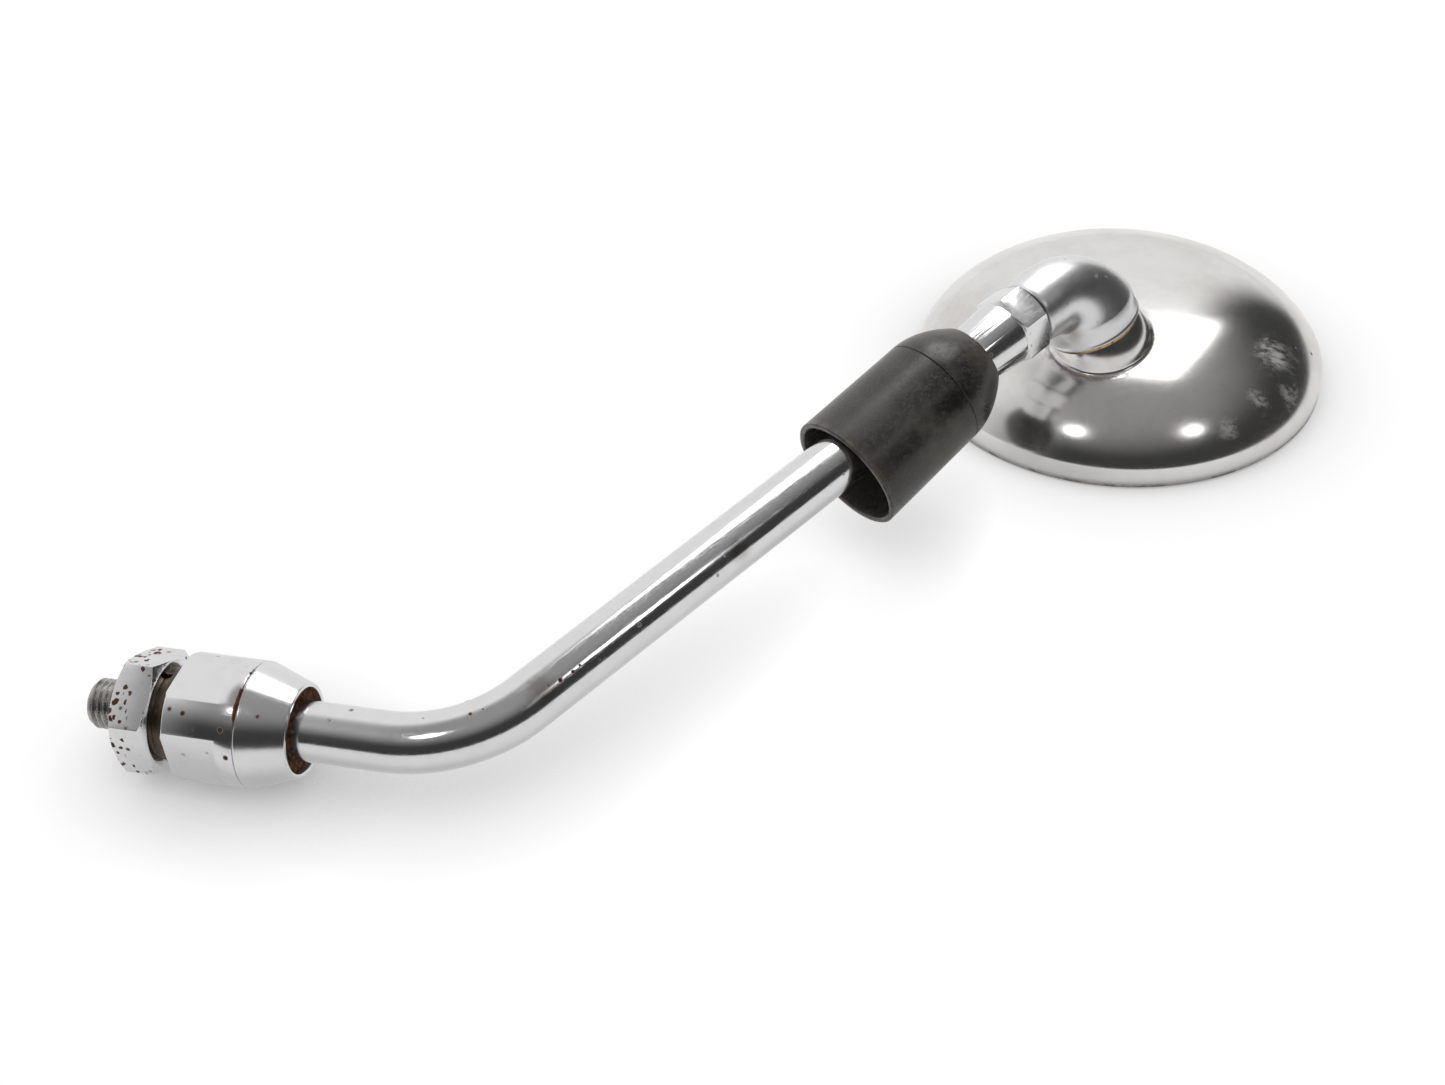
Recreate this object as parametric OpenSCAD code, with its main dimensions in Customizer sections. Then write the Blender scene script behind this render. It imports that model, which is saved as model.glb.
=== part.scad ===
// Round motorcycle mirror on a bent chromed stem.
// The origin is on the stud's axis, at the face of the lock nut that seats on the handlebar
// clamp. The stud points down, the stem rises along +Z, the glass faces +Y and the back of the
// shell faces -Y.

/* [Stud and lock nut] */
// Diameter over the stud's thread
stud_d = 10; // [8:0.5:12]
// Depth from the thread's crest to its middle, where the screwed lengths are drawn
thread_depth = 0.4; // [0.3:0.05:0.6]
// Length of the stud that is free below the lock nut
stud_free = 8.5; // [5:0.1:30]
// Depth of the stud inside the adapter
stud_in = 9; // [6:0.5:11]
// Chamfer on the end of the stud
stud_chamfer = 0.9; // [0.3:0.1:1.5]
// Width across the flats of the lock nut
nut_af = 22; // [17:0.5:24]
// Thickness of the lock nut
nut_h = 8; // [5:0.5:10]
// Angle at which the lock nut was left tight
nut_turn = 32; // [0:1:59]
// Diameter of the plain washer
plain_washer_d = 20; // [17:0.5:24]
// Thickness of the plain washer
plain_washer_t = 1.5; // [1:0.1:2.5]
// Diameter of the spring washer
spring_washer_d = 18; // [16:0.5:21]
// Thickness of the spring washer
spring_washer_t = 1.8; // [1.2:0.1:2.4]
// Width of the split in the spring washer
spring_washer_split = 1.2; // [0.6:0.1:2]

/* [Adapter] */
// Diameter of the adapter's round body
adapter_d = 25; // [23:0.5:30]
// Depth of each wrench flat
adapter_flat_cut = 1.5; // [1:0.1:2.5]
// Length of the wrench flats
adapter_flat_l = 11.3; // [8:0.1:13]
// Height of the seam between body and collar
seam_z = 15; // [14:0.1:18]
// Height of the collar's mouth
collar_top_z = 24.3; // [23:0.1:30]
// Width of the collar's lip
collar_lip_w = 0.8; // [0.6:0.1:1.6]
// Width of the recess between the stem and the lip
collar_recess_w = 2.5; // [1.6:0.1:2.7]
// Depth of the recess in the collar's mouth
collar_recess_depth = 2.6; // [2:0.1:3]
// Share of the wall round the stem's head that the screwed spigot takes
spigot_share = 0.5; // [0.4:0.05:0.6]
// Height of the screwed spigot
spigot_h = 4; // [3:0.1:4.4]
// Thickness of the packing ring in the mouth
packing_t = 1.3; // [0.8:0.1:1.8]

/* [Stem] */
// Diameter of the stem
rod_d = 12; // [10:0.5:12.5]
// Diameter of the head on the stem's lower end
rod_head_d = 16; // [14:0.2:16.5]
// Thickness of the head on the stem's lower end
rod_head_t = 3.2; // [2:0.1:3.6]
// Height at which the stem's two axes cross
corner_z = 56.6; // [50:0.5:90]
// Angle between the stud and the long part of the stem
stem_bend = 55.5; // [20:0.5:65]
// Direction in which the stem leans, about the stud
stem_lean_dir = 189.5; // [150:0.5:230]
// Radius of the bend, at the stem's axis
stem_bend_r = 30; // [24:1:36]
// Length from the bend's corner to the elbow's corner
stem_l = 177.8; // [160:0.5:240]
// Diameter of the thread on the stem's upper end
rod_thread_d = 10; // [8:0.5:10]

/* [Ferrule nut] */
// Width across the flats of the ferrule nut
ferrule_af = 15; // [14:0.5:17]
// Length of the ferrule nut's hexagon
ferrule_hex_l = 7.6; // [5:0.2:10]
// Length of the tapered skirt below the hexagon
ferrule_skirt_l = 11.3; // [9:0.1:14]
// Depth of the plain bore in the skirt
ferrule_bore_l = 5; // [3:0.1:7]
// Diameter of the skirt at its lower end
ferrule_tip_d = 13.2; // [13:0.1:13.6]
// Diameter of the skirt where it meets the hexagon
ferrule_root_d = 15.3; // [14.2:0.1:16]
// Angle of the hexagon about the stem
ferrule_turn = 20; // [0:1:59]

/* [Elbow] */
// Turn between the stem and the elbow's open end
elbow_turn = 81.5; // [70:0.5:95]
// Angle of the elbow about the stem
elbow_roll = -110.5; // [-150:0.5:-60]
// Diameter of the elbow's neck
neck_d = 15.4; // [15:0.1:17]
// Growth of the neck's radius up to the turn
neck_swell = 0.5; // [0.3:0.1:1]
// Length of the elbow's straight neck
neck_l = 5.7; // [4:0.1:7]
// Depth of the screwed hole in the neck
neck_hole_l = 11; // [8:0.1:12]
// Diameter of the elbow's open end
bell_d = 22; // [21:0.1:24]
// Distance from the elbow's corner to its open end
bell_l = 13; // [12:0.1:15]
// Radius of the fillet on the inner side of the elbow's turn
elbow_fillet = 1.2; // [0.8:0.1:2]
// Gap left between the ferrule nut and the elbow
ferrule_gap = 0.3; // [0.1:0.1:1]

/* [Ball joint] */
// Radius of the round hump on the shell
ball_r = 11.6; // [11.4:0.1:11.8]
// Distance from the elbow's corner to the middle of the hump
ball_drop = 19.4; // [18.8:0.1:20]
// Thickness of the seat ring under the elbow
seat_ring_t = 0.8; // [0.5:0.1:1]
// Inset of the seat ring from the edge of the elbow
seat_ring_inset = 0.4; // [0.2:0.1:0.6]
// Diameter of the pivot stud
pivot_d = 5; // [4:0.5:5]
// Length of the pivot stud past the middle of the hump
pivot_tail = 9.6; // [9:0.1:10]
// Thickness of the friction washer
friction_t = 1.2; // [0.8:0.1:1.5]
// Diameter of the friction washer
friction_d = 19.6; // [17:0.1:20]
// Radius of the hole in the hump
ball_hole_r = 7.2; // [7:0.1:7.4]
// Diameter of the spring's wire
spring_wire_d = 1; // [0.6:0.1:1.2]
// Diameter of the spring at the middle of its wire
spring_mean_d = 8.6; // [8:0.1:9]
// Number of turns in the spring
spring_turns = 5; // [4:0.5:6]
// Diameter of the spring cup
spring_cup_d = 11; // [10.4:0.1:12]
// Thickness of the spring cup
spring_cup_t = 1; // [0.8:0.1:1.4]
// Width across the flats of the pivot nut
pivot_nut_af = 8; // [7.5:0.5:9]
// Thickness of the pivot nut
pivot_nut_h = 4.2; // [3:0.1:4.4]

/* [Mirror head] */
// Diameter over the rim of the shell
shell_d = 97; // [88:0.5:120]
// Height of the upright band at the rim
band_h = 5; // [3:0.1:6]
// Height of the dome above the band
dome_h = 18.5; // [17:0.1:20]
// Thickness of the pressed steel
shell_t = 0.9; // [0.7:0.1:1]
// Distance from the hump to the middle of the mirror
boss_offset = 20.5; // [16:0.1:24]
// Direction from the hump to the middle of the mirror
head_turn = 169; // [150:1:190]
// Height by which the seat ring clears the dome on the elbow's low side
seat_clear = 0.57; // [0.5:0.01:1.2]
// Thickness of the glass
glass_t = 3; // [2:0.1:3.2]
// Thickness of the black seal round the glass
seal_t = 0.8; // [0.6:0.1:1.2]
// Width of the seal's lip over the face of the glass
seal_lip = 0.5; // [0.3:0.1:1]
// Thickness of the foam cushion ring
cushion_t = 2; // [1.5:0.1:2.4]
// Width of the foam cushion ring
cushion_w = 9; // [6:0.5:14]
// Thickness of the backing plate
backing_t = 0.8; // [0.6:0.1:1]

/* [Rubber sleeve] */
// Outer diameter of the sleeve at its mouth
sleeve_mouth_d = 27.4; // [27:0.1:29]
// Outer diameter of the sleeve at its moulding line
sleeve_d = 26.2; // [25.6:0.1:27]
// Length of the sleeve
sleeve_l = 39.9; // [34:0.1:41]
// Wall of the sleeve
sleeve_wall = 1.3; // [1:0.1:1.6]
// Length of the rounded nose
sleeve_nose_l = 12.3; // [9:0.1:14]
// Outer diameter at the tip of the nose
sleeve_tip_d = 16.6; // [16.2:0.1:18]
// Bore at the tip of the nose
sleeve_bore_d = 14.4; // [14.2:0.1:15]
// Thickness of the nose at its tip, along the stem
sleeve_tip_t = 2.2; // [1.4:0.1:3]
// Length of the ferrule nut's skirt that the nose covers
sleeve_cover_l = 0.8; // [0.6:0.1:5]
// Angle by which the sleeve hangs off the stem's line
sleeve_droop = 8.2; // [0:0.1:8.5]
// Height of the moulding line on the sleeve
sleeve_line_h = 0.2; // [0.1:0.05:0.4]

/* [Clearances] */
// Radial running clearance between turning parts
run_gap = 0.05; // [0.02:0.01:0.08]
// Radial clearance between screwed parts
thread_gap = 0.03; // [0.02:0.01:0.05]

/* [Hidden] */

$fn = 96;
// Overshoot of a cut past the face that it opens
cut = 1;
// Run of a nut's chamfer for each millimetre of its depth
chamfer_rise = tan(30);
// Inset of a nut's round face inside its flats
face_inset = 0.25;
// Reach of the turned form past a hexagon's corners
corner_margin = 0.01;

// Stack between the seat and the adapter's shoulder
spring_washer_z = nut_h;
plain_washer_z = spring_washer_z + spring_washer_t;
shoulder_z = plain_washer_z + plain_washer_t;
screwed_d = stud_d - 2 * thread_depth;
washer_gap = 0.2;
split_turn = -100;
split_lean = 30;

// Adapter, measured from its shoulder
edge_break = 0.6;
adapter_af = adapter_d - 2 * adapter_flat_cut;
spigot_d = rod_head_d + (adapter_d - rod_head_d) * spigot_share;
collar_recess_d = rod_d + 2 * collar_recess_w;
collar_lip_d = collar_recess_d + 2 * collar_lip_w;
spigot_top_z = seam_z + spigot_h;
rod_head_top_z = spigot_top_z - run_gap;
rod_head_z = rod_head_top_z - rod_head_t;
pocket_z = rod_head_z - run_gap;
stem_washer_t = 0.8;
stem_washer_gap = 0.3;
stem_washer_top_z = spigot_top_z + stem_washer_t;
recess_z = collar_top_z - collar_recess_depth;
collar_bore_d = rod_d + 2 * run_gap;

// Elbow, whose round sections fan out from an axis beside the inner side of its turn
neck_r = neck_d / 2 + neck_swell;
bell_r = bell_d / 2;
fan_x = neck_r + elbow_fillet;
fan_z = (fan_x * cos(elbow_turn) - bell_r - elbow_fillet) / sin(elbow_turn);
bell_start = fan_x * sin(elbow_turn) + fan_z * cos(elbow_turn);
swell_power = 2;
elbow_steps = 10;
elbow_sides = 48;
lip_h = 1;
lip_out = 0.25;

// Stem
bend_tangent = stem_bend_r * tan(stem_bend / 2);
bend_start_z = corner_z - bend_tangent;
bend_thin = 0.02;
bend_lap = 0.3;
neck_end_s = stem_l + fan_z;
elbow_face_s = neck_end_s - neck_l;
ferrule_hex_s = elbow_face_s - ferrule_gap - ferrule_hex_l;
ferrule_tip_s = ferrule_hex_s - ferrule_skirt_l;
rod_shoulder_s = ferrule_tip_s + ferrule_bore_l;
hole_end_s = elbow_face_s + neck_hole_l;
hole_end_gap = 0.5;
rod_top_s = hole_end_s - hole_end_gap;
sleeve_tip_s = ferrule_tip_s + sleeve_cover_l;

// Where the hump's middle lies, by turning a unit vector with the stem and the elbow
function turn_y(v, a) = [v[0] * cos(a) + v[2] * sin(a), v[1], v[2] * cos(a) - v[0] * sin(a)];
function turn_z(v, a) = [v[0] * cos(a) - v[1] * sin(a), v[0] * sin(a) + v[1] * cos(a), v[2]];
function on_stem(v) = turn_z(turn_y(v, stem_bend), stem_lean_dir);
stem_dir = on_stem([0, 0, 1]);
exit_dir = on_stem(turn_z(turn_y([0, 0, 1], elbow_turn), elbow_roll));
ball_pos = [0, 0, shoulder_z + corner_z] + stem_l * stem_dir + ball_drop * exit_dir;

// Ball joint, measured from the hump's middle towards the glass
ball_inner_r = ball_r - shell_t;
friction_r = ball_inner_r - run_gap;
friction_inner_r = friction_r - friction_t;
hump_skirt = ball_r / 2;
recess_gap = 0.3;
recess_r = ball_r + recess_gap;
pivot_root_z = 1.2;
pivot_hole_gap = 0.2;
spring_r = spring_mean_d / 2;
spring_seat_gap = 0.02;
rings_per_turn = 20;
spring_outer_r = spring_r + spring_wire_d / 2;
spring_top_z = spring_seat_gap - sqrt(pow(friction_inner_r, 2) - pow(spring_outer_r, 2));
spring_cup_z = 3;
spring_collar_h = 1.4;
spring_collar_gap = 0.2;
pivot_nut_z = spring_cup_z + spring_cup_t;

// Height of the hump's middle above the rim, from where the seat ring comes nearest to the dome
shell_r = shell_d / 2;
dome_power = 3;
dome_round = 0.75;
seat_low_z = ball_drop - bell_l - seat_ring_t;
seat_low_r = bell_r - seat_ring_inset;
tilt_cos = exit_dir[1];
tilt_sin = norm([exit_dir[0], exit_dir[2]]);
near_reach = seat_low_z * tilt_sin + seat_low_r * tilt_cos;
near_z = seat_low_z * tilt_cos - seat_low_r * tilt_sin;
near_spot = [-exit_dir[0], -exit_dir[2]] * near_reach / tilt_sin;
mirror_spot = [cos(head_turn), sin(head_turn)] * boss_offset;
near_r = norm(near_spot - mirror_spot);
ball_above_rim = dome_z(near_r, shell_r, dome_h) - near_z + seat_clear;

// Head stack, measured from the rim's front edge towards the back
seal_r = shell_r - shell_t;
glass_r = seal_r - seal_t;
rim_step = 0.3;
seal_round = 0.2;
plate_gap = 0.15;
cushion_inset = 1;
glass_z = 0.6;
glass_back_z = glass_z + glass_t;
cushion_z = glass_back_z;
backing_z = cushion_z + cushion_t;
backing_top_z = backing_z + backing_t;
dome_steps = 26;

// Sleeve
sleeve_mouth_r = sleeve_mouth_d / 2;
sleeve_r = sleeve_d / 2;
sleeve_tip_r = sleeve_tip_d / 2;
sleeve_inner_r = sleeve_r - sleeve_wall;
mouth_inner_r = sleeve_mouth_r - sleeve_wall;
nose_steps = 10;
nose_power = 1.95;
edge_round = 0.3;

// Places a child on the adapter's shoulder
module at_shoulder() {
    translate([0, 0, shoulder_z]) children();
}

// Places a child at a distance along the long part of the stem
module at_stem(s) {
    at_shoulder() translate([0, 0, corner_z]) rotate([0, stem_bend, stem_lean_dir])
        translate([0, 0, s]) children();
}

// Places a child at the elbow's corner, with +Z towards the open end
module at_elbow() {
    at_stem(stem_l) rotate([0, elbow_turn, elbow_roll]) children();
}

// Places a child at the middle of the hump, with +Z towards the glass
module at_pivot() {
    at_elbow() translate([0, 0, ball_drop]) children();
}

// Places a child at the middle of the hump, with +Z square to the back of the mirror
module at_hump() {
    translate(ball_pos) rotate([90, 0, 0]) children();
}

// Places a child at the middle of the rim's front edge, with +Z towards the back
module at_mirror() {
    at_hump() rotate([0, 0, head_turn]) translate([boss_offset, 0, -ball_above_rim]) children();
}

// A flat ring that stands on its lower face
module ring(outer_d, inner_d, height) {
    difference() {
        cylinder(d = outer_d, h = height);
        translate([0, 0, -cut]) cylinder(d = inner_d, h = height + 2 * cut);
    }
}

// A hexagon whose corners are turned off at both ends
module hexagon(af, height) {
    corner_r = af / 2 / cos(30) + corner_margin;
    face_r = af / 2 - face_inset;
    bevel = (corner_r - face_r) * chamfer_rise;
    intersection() {
        cylinder(d = af / cos(30), h = height, $fn = 6);
        rotate_extrude() polygon([[0, 0], [face_r, 0], [corner_r, bevel],
                                  [corner_r, height - bevel], [face_r, height], [0, height]]);
    }
}

// Screwed stud: free below the lock nut, then held in the nut and the adapter
module stud() {
    top = shoulder_z + stud_in;
    color([0.36, 0.35, 0.34]) rotate_extrude()
        polygon([[0, -stud_free], [stud_d / 2 - stud_chamfer, -stud_free],
                 [stud_d / 2, stud_chamfer - stud_free], [stud_d / 2, 0], [screwed_d / 2, 0],
                 [screwed_d / 2, top], [0, top]]);
}

// Hexagon nut with a countersunk mouth at each end of its thread
module lock_nut() {
    bore_r = screwed_d / 2 + thread_gap;
    mouth_r = stud_d / 2 + washer_gap;
    sink = mouth_r - bore_r;
    color([0.78, 0.77, 0.75]) difference() {
        rotate([0, 0, nut_turn]) hexagon(nut_af, nut_h);
        rotate_extrude() polygon([[0, -cut], [mouth_r, -cut], [mouth_r, 0], [bore_r, sink],
                                  [bore_r, nut_h - sink], [mouth_r, nut_h],
                                  [mouth_r, nut_h + cut], [0, nut_h + cut]]);
    }
}

module plain_washer() {
    color([0.42, 0.38, 0.33]) translate([0, 0, plain_washer_z])
        ring(plain_washer_d, stud_d + 2 * washer_gap, plain_washer_t);
}

module spring_washer() {
    color([0.38, 0.33, 0.28]) translate([0, 0, spring_washer_z]) difference() {
        ring(spring_washer_d, stud_d + 2 * washer_gap, spring_washer_t);
        rotate([0, 0, split_turn]) translate([0, 0, spring_washer_t / 2]) rotate([split_lean, 0, 0])
            translate([0, -spring_washer_split / 2, -spring_washer_t * 2])
                cube([spring_washer_d, spring_washer_split, spring_washer_t * 4]);
    }
}

// Stud end with two pairs of milled wrench flats, a plain band and the screwed spigot
module adapter_body() {
    color([0.8, 0.8, 0.8]) at_shoulder() difference() {
        rotate_extrude() polygon([[0, 0], [adapter_d / 2 - edge_break, 0],
                                  [adapter_d / 2, edge_break], [adapter_d / 2, seam_z],
                                  [spigot_d / 2, seam_z], [spigot_d / 2, spigot_top_z],
                                  [0, spigot_top_z]]);
        for (side = [0 : 3])
            rotate([0, 0, 90 * side]) translate([adapter_af / 2, -adapter_d, -cut])
                cube([adapter_d, 2 * adapter_d, adapter_flat_l + cut]);
        translate([0, 0, -cut]) cylinder(d = screwed_d, h = stud_in + cut);
        translate([0, 0, pocket_z]) cylinder(d = rod_head_d + 2 * run_gap, h = spigot_top_z);
    }
}

// Conical collar that screws over the spigot and traps the stem's head
module cone_collar() {
    color([0.82, 0.82, 0.82]) at_shoulder() rotate_extrude()
        polygon([[spigot_d / 2 + thread_gap, seam_z], [adapter_d / 2, seam_z],
                 [adapter_d / 2, seam_z + edge_break], [collar_lip_d / 2, collar_top_z],
                 [collar_recess_d / 2, collar_top_z], [collar_recess_d / 2, recess_z],
                 [collar_bore_d / 2, recess_z], [collar_bore_d / 2, stem_washer_top_z],
                 [spigot_d / 2 + thread_gap, stem_washer_top_z]]);
}

module stem_washer() {
    color([0.55, 0.53, 0.5]) at_shoulder() translate([0, 0, spigot_top_z])
        ring(spigot_d - 2 * stem_washer_gap, collar_bore_d, stem_washer_t);
}

module packing_ring() {
    color([0.42, 0.22, 0.12]) at_shoulder() translate([0, 0, recess_z])
        ring(collar_recess_d - 2 * run_gap, collar_bore_d, packing_t);
}

// One bar, headed at the bottom, bent once and screwed at the top
module stem_rod() {
    color([0.82, 0.82, 0.82]) union() {
        at_shoulder() translate([0, 0, rod_head_z]) cylinder(d = rod_head_d, h = rod_head_t);
        at_shoulder() translate([0, 0, rod_head_z])
            cylinder(d = rod_d, h = bend_start_z - rod_head_z);
        at_shoulder() rotate([0, 0, stem_lean_dir]) translate([stem_bend_r, 0, bend_start_z])
            rotate([90, 0, 0]) rotate([0, 0, 180 - stem_bend - bend_lap])
                rotate_extrude(angle = stem_bend + 2 * bend_lap)
                    translate([stem_bend_r, 0]) circle(d = rod_d - 2 * bend_thin);
        at_stem(bend_tangent) cylinder(d = rod_d, h = rod_shoulder_s - bend_tangent);
        at_stem(rod_shoulder_s - cut)
            cylinder(d = rod_thread_d, h = rod_top_s - rod_shoulder_s + cut);
    }
}

// Half outline of the sleeve's nose, from the moulding line to the tip
function nose_outline(r0, r1, l) = [for (i = [0 : nose_steps])
    let (t = i / nose_steps) [r1 + (r0 - r1) * (1 - pow(t, nose_power)), -l * (1 - t)]];
function backwards(p) = [for (i = [len(p) - 1 : -1 : 0]) p[i]];

// Soft cover that normally hides the adapter, pushed up the stem
module rubber_sleeve() {
    line_z = -sleeve_nose_l;
    bore_r = sleeve_bore_d / 2;
    inner_nose = [for (p = nose_outline(sleeve_inner_r, bore_r, sleeve_nose_l - sleeve_tip_t))
        [p[0], p[1] - sleeve_tip_t]];
    color([0.1, 0.1, 0.1]) at_stem(sleeve_tip_s) rotate([-sleeve_droop, 0, 0]) rotate_extrude()
        polygon(concat([[mouth_inner_r, edge_round - sleeve_l],
                        [mouth_inner_r + edge_round, -sleeve_l],
                        [sleeve_mouth_r - edge_round, -sleeve_l],
                        [sleeve_mouth_r, edge_round - sleeve_l],
                        [sleeve_r, line_z - 2 * sleeve_line_h],
                        [sleeve_r - sleeve_line_h, line_z - sleeve_line_h]],
                       nose_outline(sleeve_r, sleeve_tip_r, sleeve_nose_l),
                       [[bore_r + edge_round, 0], [bore_r, -edge_round]],
                       backwards(inner_nose)));
}

// Jam nut with a long tapered skirt over the end of the stem
module ferrule_nut() {
    color([0.8, 0.8, 0.8]) at_stem(ferrule_tip_s) difference() {
        union() {
            cylinder(d1 = ferrule_tip_d, d2 = ferrule_root_d, h = ferrule_skirt_l);
            translate([0, 0, ferrule_skirt_l]) rotate([0, 0, ferrule_turn])
                hexagon(ferrule_af, ferrule_hex_l);
        }
        translate([0, 0, -cut])
            cylinder(d = rod_d + 2 * run_gap, h = rod_shoulder_s - ferrule_tip_s + cut + run_gap);
        cylinder(d = rod_thread_d + 2 * thread_gap, h = ferrule_skirt_l + ferrule_hex_l + cut);
    }
}

// Radius of the elbow at a share of its turn
function elbow_r(t) = neck_r + (bell_r - neck_r) * pow(t, swell_power);

// A round section of the elbow: its turn, its distance along the axis there, and its radius
function elbow_ring(turn, along, r) = [for (j = [0 : elbow_sides - 1])
    let (a = j * 360 / elbow_sides, out = r * cos(a), middle = elbow_r(turn / elbow_turn))
    [fan_x - (elbow_fillet + middle - out) * cos(turn) + along * sin(turn), r * sin(a),
     fan_z + (elbow_fillet + middle - out) * sin(turn) + along * cos(turn)]];

// Outer form of the elbow, in one piece from the neck's face to the bell's lip
module elbow_form() {
    straight = bell_l - bell_start;
    sections = concat(
        [elbow_ring(0, -neck_l, neck_d / 2 - edge_break / 2),
         elbow_ring(0, edge_break / 2 - neck_l, neck_d / 2)],
        [for (i = [0 : elbow_steps])
            elbow_ring(i / elbow_steps * elbow_turn, 0, elbow_r(i / elbow_steps))],
        [elbow_ring(elbow_turn, straight - lip_h, bell_r),
         elbow_ring(elbow_turn, straight - lip_h * 2 / 3, bell_r + lip_out),
         elbow_ring(elbow_turn, straight - lip_h / 3, bell_r + lip_out),
         elbow_ring(elbow_turn, straight, bell_r)]);
    corners = [for (section = sections, corner = section) corner];
    last = (len(sections) - 1) * elbow_sides;
    walls = [for (i = [0 : len(sections) - 2], j = [0 : elbow_sides - 1])
        let (k = (j + 1) % elbow_sides, low = i * elbow_sides, high = low + elbow_sides)
        [low + j, high + j, high + k, low + k]];
    ends = [[for (j = [0 : elbow_sides - 1]) j],
            [for (j = [elbow_sides - 1 : -1 : 0]) last + j]];
    polyhedron(points = corners, faces = concat(walls, ends));
}

// Cast elbow: a neck on the stem, a swelling turn and an open bell with a round hollow
module elbow() {
    color([0.8, 0.8, 0.81]) difference() {
        at_stem(stem_l) rotate([0, 0, elbow_roll]) elbow_form();
        at_stem(elbow_face_s - cut)
            cylinder(d = rod_thread_d + 2 * thread_gap, h = neck_hole_l + cut);
        at_elbow() translate([0, 0, pivot_root_z]) cylinder(d = pivot_d, h = ball_drop);
        at_pivot() sphere(r = recess_r);
    }
}

// Soft brass ring between the elbow and the hump
module seat_ring() {
    color([0.66, 0.5, 0.26]) difference() {
        at_elbow() translate([0, 0, bell_l]) cylinder(r = bell_r - seat_ring_inset, h = seat_ring_t);
        at_pivot() sphere(r = ball_r + run_gap);
    }
}

module pivot_stud() {
    color([0.6, 0.6, 0.6]) at_elbow() translate([0, 0, pivot_root_z])
        cylinder(d = pivot_d, h = ball_drop + pivot_tail - pivot_root_z);
}

// Round-backed steel washer that the spring pushes into the hump
module friction_washer() {
    color([0.6, 0.6, 0.6]) at_pivot() mirror([0, 0, 1]) difference() {
        intersection() {
            sphere(r = friction_r);
            cylinder(d = friction_d, h = ball_r + cut);
        }
        sphere(r = friction_inner_r);
        cylinder(d = pivot_d + 2 * pivot_hole_gap, h = ball_r + cut);
    }
}

// Corner of one ring of the spring's wire
function wire_point(turn, a, rise) =
    let (r = spring_r + spring_wire_d / 2 * cos(a))
    [r * cos(turn), r * sin(turn), rise + spring_wire_d / 2 * sin(a)];

module pivot_spring() {
    sides = 8;
    ring_count = floor(spring_turns * rings_per_turn);
    first = spring_top_z + spring_wire_d / 2;
    last = spring_cup_z - spring_wire_d / 2;
    corners = [for (i = [0 : ring_count], j = [0 : sides - 1])
        wire_point(i / ring_count * spring_turns * 360, j * 360 / sides,
                   first + (last - first) * i / ring_count)];
    walls = [for (i = [0 : ring_count - 1], j = [0 : sides - 1])
        let (k = (j + 1) % sides)
        [i * sides + j, (i + 1) * sides + j, (i + 1) * sides + k, i * sides + k]];
    ends = [[for (j = [0 : sides - 1]) j],
            [for (j = [sides - 1 : -1 : 0]) ring_count * sides + j]];
    color([0.5, 0.5, 0.5]) at_pivot() polyhedron(points = corners, faces = concat(walls, ends));
}

module spring_cup() {
    inside_r = spring_r - spring_wire_d / 2 - spring_collar_gap;
    color([0.6, 0.6, 0.6]) at_pivot() difference() {
        union() {
            translate([0, 0, spring_cup_z]) cylinder(d = spring_cup_d, h = spring_cup_t);
            translate([0, 0, spring_cup_z - spring_collar_h])
                cylinder(r = inside_r, h = spring_collar_h);
        }
        translate([0, 0, spring_cup_z - spring_collar_h - cut])
            cylinder(d = pivot_d + 2 * pivot_hole_gap,
                     h = spring_cup_t + spring_collar_h + 2 * cut);
    }
}

module pivot_nut() {
    color([0.65, 0.62, 0.5]) at_pivot() translate([0, 0, pivot_nut_z]) difference() {
        hexagon(pivot_nut_af, pivot_nut_h);
        translate([0, 0, -cut]) cylinder(d = pivot_d + 2 * thread_gap, h = pivot_nut_h + 2 * cut);
    }
}

// Height of the dome above the rim at a radius
function dome_z(r, edge_r, top) = band_h + top * pow(1 - pow(r / edge_r, dome_power), dome_round);

// Half outline of the dome from the rim to its middle, with short steps where it curves most
function dome_outline(edge_r, top) = [for (i = [0 : dome_steps])
    let (r = edge_r * sin(90 * (1 - i / dome_steps))) [r, dome_z(r, edge_r, top)]];

// The dome's solid form, standing on the rim
module dome_solid(edge_r, top, foot) {
    rotate_extrude() polygon(concat([[0, foot], [edge_r, foot]], dome_outline(edge_r, top)));
}

// Pressed and chromed shell: an upright rim band, a full dome and the round hump for the joint
module mirror_shell() {
    color([0.8, 0.8, 0.81]) difference() {
        union() {
            at_mirror() dome_solid(shell_r, dome_h, rim_step);
            at_hump() intersection() {
                sphere(r = ball_r);
                translate([0, 0, -hump_skirt]) cylinder(r = ball_r + cut, h = 2 * ball_r);
            }
        }
        at_mirror() dome_solid(seal_r, dome_h - shell_t, -cut);
        at_hump() sphere(r = ball_inner_r);
        at_hump() cylinder(r = ball_hole_r, h = ball_r + cut);
    }
}

module backing_plate() {
    rise = (backing_top_z - band_h) / (dome_h - shell_t);
    plate_r = seal_r * pow(1 - pow(rise, 1 / dome_round), 1 / dome_power) - plate_gap;
    color([0.5, 0.5, 0.5]) at_mirror() translate([0, 0, backing_z])
        cylinder(r = plate_r, h = backing_t);
}

module cushion_ring() {
    outer_r = glass_r - cushion_inset;
    color([0.16, 0.16, 0.16]) at_mirror() translate([0, 0, cushion_z])
        ring(2 * outer_r, 2 * (outer_r - cushion_w), cushion_t);
}

module mirror_glass() {
    color([0.75, 0.8, 0.84]) at_mirror() translate([0, 0, glass_z])
        cylinder(r = glass_r, h = glass_t);
}

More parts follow.
